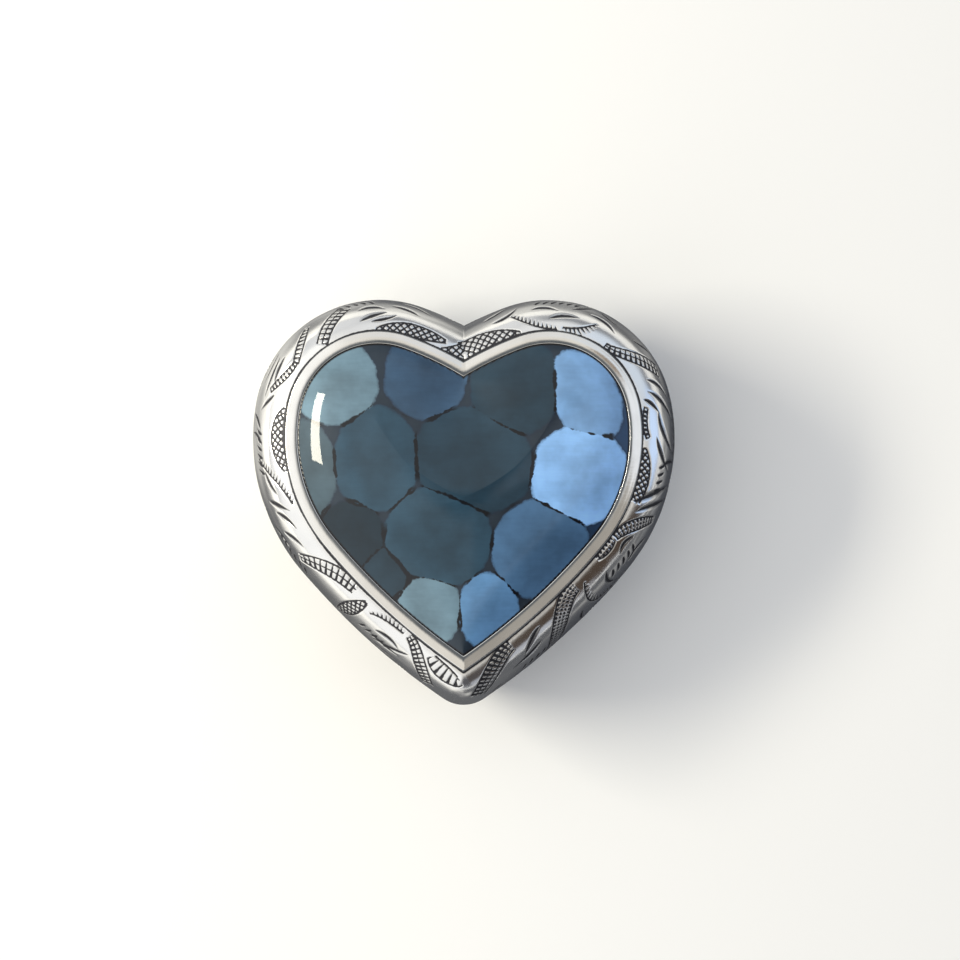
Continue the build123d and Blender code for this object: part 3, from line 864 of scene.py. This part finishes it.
def paint_pebbles(mesh, points):
    """Gives each point its distances to the pebbles, and the tint of the nearest one.

    rim is the distance outside the nearest pebble. seam is the distance to the line midway to the next one.
    room is large where pebbles lie far apart. border is the distance in from the dome's edge.
    """
    distances = []
    for x, y, half_width, half_height, turn, *_ in PEBBLES:
        c = math.cos(math.radians(turn))
        s = math.sin(math.radians(turn))
        dx = points[:, 0] - x
        dy = points[:, 1] - y
        along = np.abs(c * dx + s * dy) / half_width
        across = np.abs(c * dy - s * dx) / half_height
        reach = (along ** PEBBLE_POWER + across ** PEBBLE_POWER) ** (1 / PEBBLE_POWER)
        distances.append((reach - 1) * min(half_width, half_height))
    order = np.argsort(distances, axis=0)
    first, second = np.take_along_axis(np.array(distances), order[:2], 0)
    border = distance_to_edge(points[:, 0], points[:, 1], DOME_INSET)
    set_attribute(mesh, "rim", np.clip(first, -20, 3))
    set_attribute(mesh, "seam", np.clip((second - first) / 2, 0, 3))
    set_attribute(mesh, "room", np.clip(second + first, -2, 4))
    set_attribute(mesh, "border", np.clip(border, 0, 3))
    colours = np.array([np.multiply(glaze, strength) for *_, glaze, strength in PEBBLES])[order[0]]
    layer = mesh.attributes.new("tint", "FLOAT_COLOR", "POINT")
    layer.data.foreach_set("color", np.c_[colours, np.ones(len(colours))].astype(np.float32).ravel())


# ---- Velvet and felt --------------------------------------------------
LINING = 1.0
LINING_GAP = 0.1
CUSHION_INSET = 6.8
PAD_INSET = 7.0
LID_LINING_INSET = 5.8
CUP_SPACE = 3.15            # radius of the hole in the lining round the magnet's cup
CUP_BOTTOM = 9.5
LIP = 0.35                  # height of the lining's rounded top edge
CROWN_REACH = 9.0           # a padded face has its full rise this far in from its edge
FUZZ = 0.06


def base_lining():
    """Velvet-covered lining of the base: wall and floor in one, with a hole for the magnet's cup."""
    back = COLLAR_INSET + COLLAR_THICKNESS + LINING_GAP
    skin = WALL + LINING_GAP
    hidden = lining_face(back, skin)
    front = lining_face(back + LINING, skin + LINING)
    section = [*hidden[::-1], *soft_lip(hidden[0], front[0]), *front]
    points, faces = sweep(section, 0.5, closed=False)
    obj = raw_object("velvet_base_lining", points, faces)
    tidy_mesh(obj.data)
    work = bmesh.new()
    hole_top = LINING_HIGH + 4
    centre = Vector((0, ARCS[POINT_ARC][1], (CUP_BOTTOM + hole_top) / 2))
    add_cylinder(work, centre, CUP_SPACE, hole_top - CUP_BOTTOM)
    carve(obj, cutter_object(work))
    finish_object(obj, "base", ["base_lining"], 40)
    return obj


def lining_face(back, skin):
    """Places down one face of the lining, from its lip to the floor."""
    turn = height_at(back, False, skin)
    low = height_at(SHOULDER_INSET, False, skin)
    straight = [(back, z) for z in np.linspace(LINING_HIGH, turn, 8, endpoint=False)]
    return straight + [(float(side_inset(z, skin)), z) for z in np.linspace(turn, low, 30)]


def soft_lip(outer, inner):
    """Rounded top edge of the lining."""
    middle = (outer[0] + inner[0]) / 2
    half = (inner[0] - outer[0]) / 2
    angles = np.linspace(math.pi, 0, 7)[1:-1]
    return [(middle + half * math.cos(a), outer[1] - LIP + LIP * math.sin(a)) for a in angles]


def pad(inset, bottom, top, edge, step=0.8, rings=36):
    """Points and faces of a heart-shaped pad with rounded upper and lower edges, as a closed form."""
    s = girth_stations(step)
    middle = (bottom + top) / 2
    half = (top - bottom) / 2
    angles = np.linspace(-math.pi / 2, math.pi / 2, 9)
    section = [(inset + edge * (1 - math.cos(a)), middle + half * math.sin(a)) for a in angles]
    x, y = drawn_in(s, inset + edge, 1 - np.linspace(0, 1, rings, endpoint=False)[1:])
    upper = np.stack([x, y, np.full(x.shape, top)], -1)
    lower = upper[:, ::-1].copy()
    lower[:, :, 2] = bottom
    points = np.concatenate([lower, around(section, s), upper], axis=1)
    return points.reshape(-1, 3), band_faces(*points.shape[:2], closed=False)


def crown(points, level, rise, inset):
    """Raises the face at a level into a crown: nothing at the edge, and rise at CROWN_REACH in from it."""
    moved = points.copy()
    face = np.isclose(points[:, 2], level)
    near = np.clip(distance_to_edge(points[face, 0], points[face, 1], inset) / CROWN_REACH, 0, 1)
    moved[face, 2] += rise * np.sin(near * math.pi / 2)
    return moved


def padded(name, node, body, inset, edge, rise, swelling):
    """Padded velvet piece, crowned upwards by rise, or downwards where rise is negative."""
    low, high = (corner[2] for corner in span(node))
    bottom = low - min(rise, 0)
    top = high - max(rise, 0)
    points, faces = pad(inset, bottom, top, edge)
    obj = raw_object(name, crown(points, top if rise > 0 else bottom, rise, inset), faces)
    tidy_mesh(obj.data)
    swell(obj, low, high, swelling)
    finish_object(obj, body, [node], 60)
    return obj


def cushion():
    """Cushion on the floor of the base, with its sides pulled in at the seam."""
    return padded("velvet_cushion", "base_cushion", "base", CUSHION_INSET, edge=0.9, rise=0.6, swelling=0.5)


def lid_lining():
    """Padded lining that hides the backing plate."""
    inset = LID_LINING_INSET
    return padded("velvet_lid_lining", "lid_lining", "lid", inset, edge=0.7, rise=-0.4, swelling=0.3)


SIM_SCALE = 10.0            # cloth behaves better at the size of a seat pad
SIM_FRAMES = 16
SIM_VOXEL = 9.0             # millimetres, at that size


def swell(obj, low, high, most):
    """Pads a piece by cloth simulation: it is blown up a little, and no point moves more than most."""
    mesh = obj.data
    grow(mesh, SIM_SCALE)
    remesh = obj.modifiers.new("even", "REMESH")
    remesh.mode = "VOXEL"
    remesh.voxel_size = SIM_VOXEL * MM
    bake_modifiers(obj)
    before = read_points(obj.data)
    cloth = obj.modifiers.new("pad", "CLOTH")
    cloth.settings.quality = 5
    cloth.settings.use_pressure = True
    cloth.settings.uniform_pressure_force = 4
    cloth.settings.effector_weights.gravity = 0
    for frame_number in range(1, SIM_FRAMES + 1):
        bpy.context.scene.frame_set(frame_number)
    bake_modifiers(obj)
    bpy.context.scene.frame_set(1)
    after = read_points(obj.data)
    moved = after - before
    length = np.linalg.norm(moved, axis=1)
    cap = most * MM * SIM_SCALE
    share = cap * np.tanh(length / cap) / np.maximum(length, 1e-12)
    points = (before + moved * share[:, None]) / SIM_SCALE
    points[:, 2] = np.clip(points[:, 2], low * MM, high * MM)
    obj.data.vertices.foreach_set("co", points.astype(np.float32).ravel())
    smooth = obj.modifiers.new("smooth", "CORRECTIVE_SMOOTH")
    smooth.iterations = 3
    smooth.use_only_smooth = True
    divide = obj.modifiers.new("fine", "SUBSURF")
    divide.levels = 1
    bake_modifiers(obj)
    obj.data.polygons.foreach_set("use_smooth", [True] * len(obj.data.polygons))


def grow(mesh, factor):
    mesh.vertices.foreach_set("co", (read_points(mesh) * factor).astype(np.float32).ravel())
    mesh.update()


def read_points(mesh):
    values = np.zeros(len(mesh.vertices) * 3, np.float32)
    mesh.vertices.foreach_get("co", values)
    return values.reshape(-1, 3).astype(float)


def felt_pad():
    """Felt under the box: flat underneath, with a soft, slightly fuzzy edge."""
    points, faces = pad(PAD_INSET, 0, PAD_TOP, edge=0.3, step=0.4, rings=40)
    edge = (points[:, 2] > 0.02) & (points[:, 2] < PAD_TOP - 0.02)
    x, y = points[:, 0], points[:, 1]
    length = np.hypot(x, y)
    fuzz = FUZZ * wobble(points, 1.3, SEED + 5)
    points[edge, 0] += (fuzz * x / length)[edge]
    points[edge, 1] += (fuzz * y / length)[edge]
    return make_object("felt_underside", points, faces, "base", ["felt_pad"], 50)


# ---- Materials --------------------------------------------------------
class Nodes:
    """A node tree under construction."""

    def __init__(self, tree):
        self.tree = tree

    def node(self, kind, output, settings, *values, **named):
        """Adds a node, sets its settings and inputs, and gives back one of its outputs."""
        node = self.tree.nodes.new(kind)
        for key, value in settings.items():
            setattr(node, key, value)
        for key, value in [*enumerate(values), *named.items()]:
            self.join(node.inputs[key.replace("_", " ") if isinstance(key, str) else key], value)
        return node.outputs[output]

    def join(self, socket, value):
        if isinstance(value, bpy.types.NodeSocket):
            self.tree.links.new(value, socket)
        else:
            socket.default_value = value

    def math(self, operation, *values):
        return self.node("ShaderNodeMath", "Value", {"operation": operation}, *values)

    def vector(self, operation, *values, output="Vector", **named):
        return self.node("ShaderNodeVectorMath", output, {"operation": operation}, *values, **named)

    def step(self, value, low, high, at_low=0.0, at_high=1.0):
        """Smooth change from at_low to at_high as value goes from low to high."""
        settings = {"interpolation_type": "SMOOTHSTEP"}
        return self.node("ShaderNodeMapRange", "Result", settings, value, low, high, at_low, at_high)

    def mix(self, share, a, b):
        """Mix of two colours."""
        node = self.tree.nodes.new("ShaderNodeMix")
        node.data_type = "RGBA"
        for socket, value in zip((node.inputs[0], node.inputs[6], node.inputs[7]), (share, a, b)):
            self.join(socket, (*value, 1) if isinstance(value, tuple) else value)
        return node.outputs[2]


class Recipe(Nodes):
    """Material under construction. Lengths in its textures are millimetres in the row's frame."""

    def __init__(self, name):
        self.material = bpy.data.materials.new(name)
        self.material.use_nodes = True
        super().__init__(self.material.node_tree)
        self.surface = self.tree.nodes["Principled BSDF"]
        self.where = self.vector("SCALE", self.node("ShaderNodeTexCoord", "Object", {}), Scale=1 / MM)

    def set(self, **inputs):
        for key, value in inputs.items():
            self.join(self.surface.inputs[key.replace("_", " ")], value)

    def attribute(self, name, output="Fac"):
        return self.node("ShaderNodeAttribute", output, {"attribute_name": name})

    def noise(self, size, detail=2.0, roughness=0.5, stretch=None):
        where = self.vector("MULTIPLY", self.where, stretch) if stretch else self.where
        return self.node(
            "ShaderNodeTexNoise", "Fac", {}, Vector=where, Scale=1 / size, Detail=detail, Roughness=roughness
        )

    def waver(self, amount, *texture):
        """Noise that swings by half of amount to either side of 0."""
        return self.math("MULTIPLY", self.math("SUBTRACT", self.noise(*texture), 0.5), amount)

    def crossed(self, size, stretch, detail=2.0, roughness=0.5):
        """Two noises added, one drawn out along x and one along y."""
        along_x = self.noise(size, detail, roughness, (stretch, 1, 1))
        return self.math("ADD", along_x, self.noise(size, detail, roughness, (1, stretch, 1)))

    def distance_from(self, middle):
        return self.vector("LENGTH", self.vector("SUBTRACT", self.where, middle), output="Value")

    def bump(self, height, millimetres):
        """Surface normal for a height that runs from 0 to 1 over the given rise."""
        rise = millimetres * MM
        self.set(Normal=self.node("ShaderNodeBump", "Normal", {}, Strength=1.0, Distance=rise, Height=height))


SILVER = (0.93, 0.925, 0.91)
SILVER_CLOUD = (0.88, 0.875, 0.865)
# tarnish, and painted shade in the leaf strokes
TARNISH_AND_SHADE = (0.085, 0.09, 0.10)
OXIDE = (0.030, 0.030, 0.036)
SLATE_DARK = (0.010, 0.020, 0.034)
SLATE_PALE = (0.024, 0.038, 0.056)
# painted reflection of blue sky, laid on the slate at the dome's right side
SLATE_SKY_REFLECTION = (0.018, 0.055, 0.13)
PEBBLE_OUTLINE = (0.014, 0.024, 0.045)
CRACK = (0.002, 0.003, 0.006)
# painted shadow along the enamel's edge under the bezel
ENAMEL_EDGE_SHADOW = (0.002, 0.002, 0.003)
PILE_DARK = (0.004, 0.005, 0.020)
PILE_BRUSHED = (0.010, 0.013, 0.045)
PILE_TIP = (0.020, 0.026, 0.075)
PILE_SHEEN = (0.32, 0.38, 0.75, 1)
FELT_DARK = (0.008, 0.010, 0.028)
FELT_PALE = (0.026, 0.030, 0.062)


def engraved_silver():
    """Polished silver plate with dark oxide left in its cuts, a lightly tarnished hatched ground, and leaf strokes
    tarnished and darkened with painted shade.
    """
    r = Recipe("engraved_silver")
    ink = r.math("ADD", r.attribute("ink"), r.waver(0.22, 0.5, 3))
    dark = r.step(ink, INK_REACH - 0.22, INK_REACH - 0.12)
    tarnish_and_shade = r.math("MULTIPLY", r.attribute("tarnish_and_shade"), r.step(r.noise(1.6, 3), 0.3, 0.7, 0.55, 1.0))
    cloud = r.step(r.noise(9, 3), 0.35, 0.7)
    metal = r.mix(cloud, SILVER, SILVER_CLOUD)
    # tarnish on the hatched ground; in the leaf strokes, tarnish and painted shade
    metal = r.mix(tarnish_and_shade, metal, TARNISH_AND_SHADE)
    metal = r.mix(dark, metal, OXIDE)
    rough = r.step(r.noise(3, 4), 0.3, 0.75, 0.13, 0.2)
    rough = r.math("ADD", rough, r.math("MULTIPLY", tarnish_and_shade, 0.12))
    rough = r.math("ADD", rough, r.math("MULTIPLY", dark, 0.3))
    r.set(Base_Color=metal, Metallic=r.step(dark, 0, 1, 1, 0.55), Roughness=rough)
    r.bump(r.crossed(0.5, 0.15), 0.006)
    return r.material


def polished_silver(name="polished_silver", colour=(0.93, 0.915, 0.885), rough=(0.08, 0.15)):
    """Plain polished metal with fine wear marks."""
    r = Recipe(name)
    cloud = r.step(r.noise(6, 3), 0.35, 0.7)
    darker = tuple(0.93 * c for c in colour)
    r.set(
        Base_Color=r.mix(cloud, colour, darker),
        Metallic=1.0,
        Roughness=r.step(r.noise(2.2, 4), 0.3, 0.75, *rough),
    )
    r.bump(r.crossed(0.4, 0.12), 0.004)
    return r.material


def enamel():
    """Glassy enamel: blue-grey pebbles with ragged outlines, dark slate between them and black cracks. The slate
    has a painted sky reflection towards the right, and the edge under the bezel has a painted shadow.
    """
    r = Recipe("pebble_enamel")
    ragged = r.math("ADD", r.waver(0.8, 1.1, 4, 0.65), r.waver(1.1, 3.5, 2))
    rim = r.math("ADD", r.attribute("rim"), ragged)
    between = r.step(rim, 0.36, 0.58)
    outline = r.math("MULTIPLY", r.step(rim, 0.05, 0.45), r.step(rim, 0.5, 1.0, 1, 0))
    seam = r.math("ADD", r.attribute("seam"), r.waver(1.5, 2.8, 4, 0.6))
    narrow = r.step(r.math("ADD", r.attribute("room"), r.noise(5, 2)), 1.2, 2.2, 1, 0)
    width = r.step(r.noise(6, 3), 0.38, 0.66, 0.2, 0.46)
    crack = r.step(r.math("ABSOLUTE", seam), r.math("MULTIPLY", width, 0.45), width, 1, 0)
    crack = r.math("MULTIPLY", crack, narrow)
    streak = r.noise(1.2, 3, 0.6, (0.25, 2.2, 0.2))
    shade = r.step(r.noise(5, 3), 0.25, 0.75, 0.82, 1.2)
    shade = r.math("MULTIPLY", shade, r.step(streak, 0.3, 0.7, 0.97, 1.03))
    deep = r.step(r.attribute("rim"), -6, -0.5, 0.88, 1.1)
    stone = r.vector("SCALE", r.attribute("tint", "Color"), Scale=r.math("MULTIPLY", shade, deep))
    slate = r.mix(r.noise(2.5, 3), SLATE_DARK, SLATE_PALE)
    # painted reflection: the slate turns blue towards the right side, where the dome mirrors blue sky
    side = r.node("ShaderNodeSeparateXYZ", "X", {}, r.where)
    slate = r.mix(r.step(side, 16, 27), slate, SLATE_SKY_REFLECTION)
    colour = r.mix(between, stone, slate)
    colour = r.mix(r.math("MULTIPLY", outline, 0.45), colour, PEBBLE_OUTLINE)
    colour = r.mix(crack, colour, CRACK)
    # painted shadow: the enamel turns near black along its edge under the bezel's lip
    colour = r.mix(r.step(r.attribute("border"), 0.15, 0.4, 1, 0), colour, ENAMEL_EDGE_SHADOW)
    r.set(
        Base_Color=colour,
        Roughness=0.5,
        Specular_IOR_Level=0.1,
        Coat_Weight=1.0,
        Coat_Roughness=0.03,
        Coat_IOR=1.42,
    )
    r.bump(r.noise(7, 2), 0.02)
    return r.material


def velvet():
    """Short-pile navy velvet: dark face, pale sheen at grazing angles, brushed patches, fine fibre grain."""
    r = Recipe("navy_velvet")
    brushed = r.step(r.noise(7, 3, 0.6), 0.35, 0.68)
    fibre = r.noise(0.16, 2, 0.7)
    colour = r.mix(brushed, PILE_DARK, PILE_BRUSHED)
    colour = r.mix(r.step(fibre, 0.45, 0.75, 0, 0.6), colour, PILE_TIP)
    r.set(
        Base_Color=colour,
        Roughness=0.9,
        Specular_IOR_Level=0.1,
        Sheen_Weight=0.55,
        Sheen_Roughness=0.35,
        Sheen_Tint=PILE_SHEEN,
    )
    r.bump(fibre, 0.12)
    return r.material


def felt():
    """Dense navy felt of matted fibres."""
    r = Recipe("navy_felt")
    fibre = r.crossed(0.5, 0.3, 4, 0.7)
    colour = r.mix(r.step(fibre, 0.8, 1.2), FELT_DARK, FELT_PALE)
    r.set(Base_Color=colour, Roughness=1.0, Specular_IOR_Level=0.1, Sheen_Weight=0.3, Sheen_Roughness=0.6)
    r.bump(fibre, 0.25)
    return r.material


def dress(obj, material):
    obj.data.materials.clear()
    obj.data.materials.append(material)


# ---- Build ------------------------------------------------------------
silver = engraved_silver()
bright = polished_silver()
steel = polished_silver("brushed_steel", (0.62, 0.61, 0.60), (0.22, 0.36))
nickel = polished_silver("magnet_nickel", (0.72, 0.70, 0.66), (0.18, 0.3))
navy = velvet()

LOOKS = (
    (lid_shell, silver, "engraved_silver"),
    (base_shell, silver, "engraved_silver"),
    (bezel, bright, "polished_silver"),
    (collar, bright, "polished_silver"),
    (enamel_dome, enamel(), "enamel"),
    (base_lining, navy, "velvet"),
    (cushion, navy, "velvet"),
    (lid_lining, navy, "velvet"),
    (felt_pad, felt(), "felt"),
)
for make, material, slot in LOOKS:
    piece = make()
    dress(piece, material)

KEPT_NODES = (
    (bright, ("hinge_base_leaf_left", "hinge_base_leaf_right", "hinge_lid_leaf_left", "hinge_lid_leaf_right",
              "base_magnet_cup", "lid_magnet_cup")),
    (steel, ("hinge_pin_left", "hinge_pin_right", "backing_plate", "backing_screws")),
    (nickel, ("base_magnet", "lid_magnet")),
)
for material, names in KEPT_NODES:
    for name in names:
        dress(frame["nodes"][name], material)


# ---- Studio -----------------------------------------------------------
# What the silver and the enamel mirror: a direction, the angles within which a patch is full and beyond which
# it is gone, and its colour. Later patches lie over earlier ones.
HORIZON = (0.26, 0.27, 0.29)
HIGH = (0.60, 0.59, 0.57)
HIGH_FROM, HIGH_TO = 0.25, 0.65       # sines of the elevations between which the horizon turns into HIGH
PATCHES = (
    ((0.0, 0.0, 1.0), 30, 48, (0.78, 0.75, 0.69)),
    ((0.0, 0.0, 1.0), 12, 21, (0.12, 0.13, 0.14)),
    ((-0.8, 0.2, 0.6), 26, 50, (1.08, 1.08, 1.06)),
    ((-0.66, -0.66, 0.3), 20, 42, (1.02, 1.02, 1.01)),
    ((-0.45, 0.85, 0.15), 10, 32, (0.75, 0.76, 0.77)),
    ((0.1, 0.9, 0.75), 10, 30, (0.80, 0.81, 0.82)),
    ((0.65, 0.6, 0.65), 12, 35, (0.66, 0.74, 0.84)),
    ((0.98, 0.02, 0.3), 8, 24, (0.62, 0.78, 1.05)),
    ((0.29, 0.29, 0.91), 4, 8, (0.30, 0.24, 0.19)),
    ((0.41, 0.04, 0.91), 8, 15, (0.84, 0.88, 0.94)),
    ((0.31, -0.28, 0.91), 10, 17, (0.36, 0.34, 0.31)),
    ((0.72, -0.62, 0.42), 16, 30, (0.070, 0.052, 0.040)),
    ((0.6, -0.75, 0.1), 4, 12, (0.45, 0.47, 0.52)),
    ((0.2, -0.9, 0.4), 8, 26, (0.10, 0.10, 0.11)),
)
BACKDROP = (0.93, 0.93, 0.93)


def room_light():
    """Soft room seen in reflections, plain and pale to the camera."""
    world = bpy.data.worlds.new("room")
    world.use_nodes = True
    n = Nodes(world.node_tree)
    direction = n.node("ShaderNodeTexCoord", "Generated", {})
    rise = n.node("ShaderNodeSeparateXYZ", "Z", {}, direction)
    colour = n.mix(n.step(rise, HIGH_FROM, HIGH_TO), HORIZON, HIGH)
    for towards, full, gone, tint in PATCHES:
        nearness = n.vector("DOT_PRODUCT", direction, Vector(towards).normalized(), output="Value")
        share = n.step(nearness, math.cos(math.radians(gone)), math.cos(math.radians(full)))
        colour = n.mix(share, colour, tint)
    seen = n.node("ShaderNodeLightPath", "Is Camera Ray", {})
    n.join(n.tree.nodes["Background"].inputs["Color"], n.mix(seen, colour, BACKDROP))
    bpy.context.scene.world = world


TARGET = Vector((2.9, 4.0, 17.0))
CAMERA_DISTANCE = 500.0
CAMERA_TILT = 1.5           # degrees from straight down, towards the point of the heart
LENS = 103.9


def window_light(name, towards, distance, width, height, radiance, colour):
    """Rectangular soft light that faces the box, hidden from the camera."""
    light = bpy.data.lights.new(name, "AREA")
    light.shape = "RECTANGLE"
    light.size = width * MM
    light.size_y = height * MM
    light.energy = radiance * math.pi * width * height * MM * MM
    light.color = colour
    obj = bpy.data.objects.new(name, light)
    way = Vector(towards).normalized()
    obj.location = (TARGET + way * distance) * MM
    obj.rotation_euler = way.to_track_quat("Z", "Y").to_euler()
    obj.visible_camera = False
    bpy.context.scene.collection.objects.link(obj)


CLOTH = (0.12, 0.125, 0.14)           # what the silver mirrors close to the box
CLOTH_MIDDLE = (16.0, -12.0, 0.0)
DARK_SIDE = (130.0, -160.0, 0.0)      # middle of the dark floor mirrored to the right of the point
PALE_FLOOR = (0.93, 0.93, 0.93)
FLOOR_GAP = 0.01                      # keeps the floor just below the felt


def floor():
    """Plain pale floor. In the silver's reflections it looks like the dark cloth of the display case."""
    work = bmesh.new()
    bmesh.ops.create_grid(work, x_segments=2, y_segments=2, size=3)
    mesh = bpy.data.meshes.new("floor")
    work.to_mesh(mesh)
    work.free()
    obj = bpy.data.objects.new("floor", mesh)
    obj.location.z = -FLOOR_GAP * MM
    bpy.context.scene.collection.objects.link(obj)
    r = Recipe("floor")
    mirrored = r.node("ShaderNodeLightPath", "Is Glossy Ray", {})
    blotch = r.step(r.noise(45, 2), 0.3, 0.7, -25, 25)
    close = r.step(r.math("ADD", r.distance_from(CLOTH_MIDDLE), blotch), 45, 150, 1, 0)
    beside = r.step(r.math("ADD", r.distance_from(DARK_SIDE), blotch), 110, 190, 1, 0)
    share = r.math("MULTIPLY", r.math("MAXIMUM", close, beside), mirrored)
    r.set(Base_Color=r.mix(share, PALE_FLOOR, CLOTH), Roughness=1.0, Specular_IOR_Level=0.0)
    dress(obj, r.material)


def camera():
    lens = bpy.data.cameras.new("camera")
    lens.lens = LENS
    lens.clip_start = 0.01
    obj = bpy.data.objects.new("camera", lens)
    tilt = math.radians(CAMERA_TILT)
    way = Vector((0, -math.sin(tilt), math.cos(tilt)))
    obj.location = (TARGET + way * CAMERA_DISTANCE) * MM
    obj.rotation_euler = (tilt, 0, 0)
    bpy.context.scene.collection.objects.link(obj)
    bpy.context.scene.camera = obj


room_light()
window_light("window", (-0.80, 0.16, 0.50), 600, 330, 110, 27, (1.0, 0.94, 0.78))
floor()
camera()
bpy.context.scene.view_settings.view_transform = "Standard"
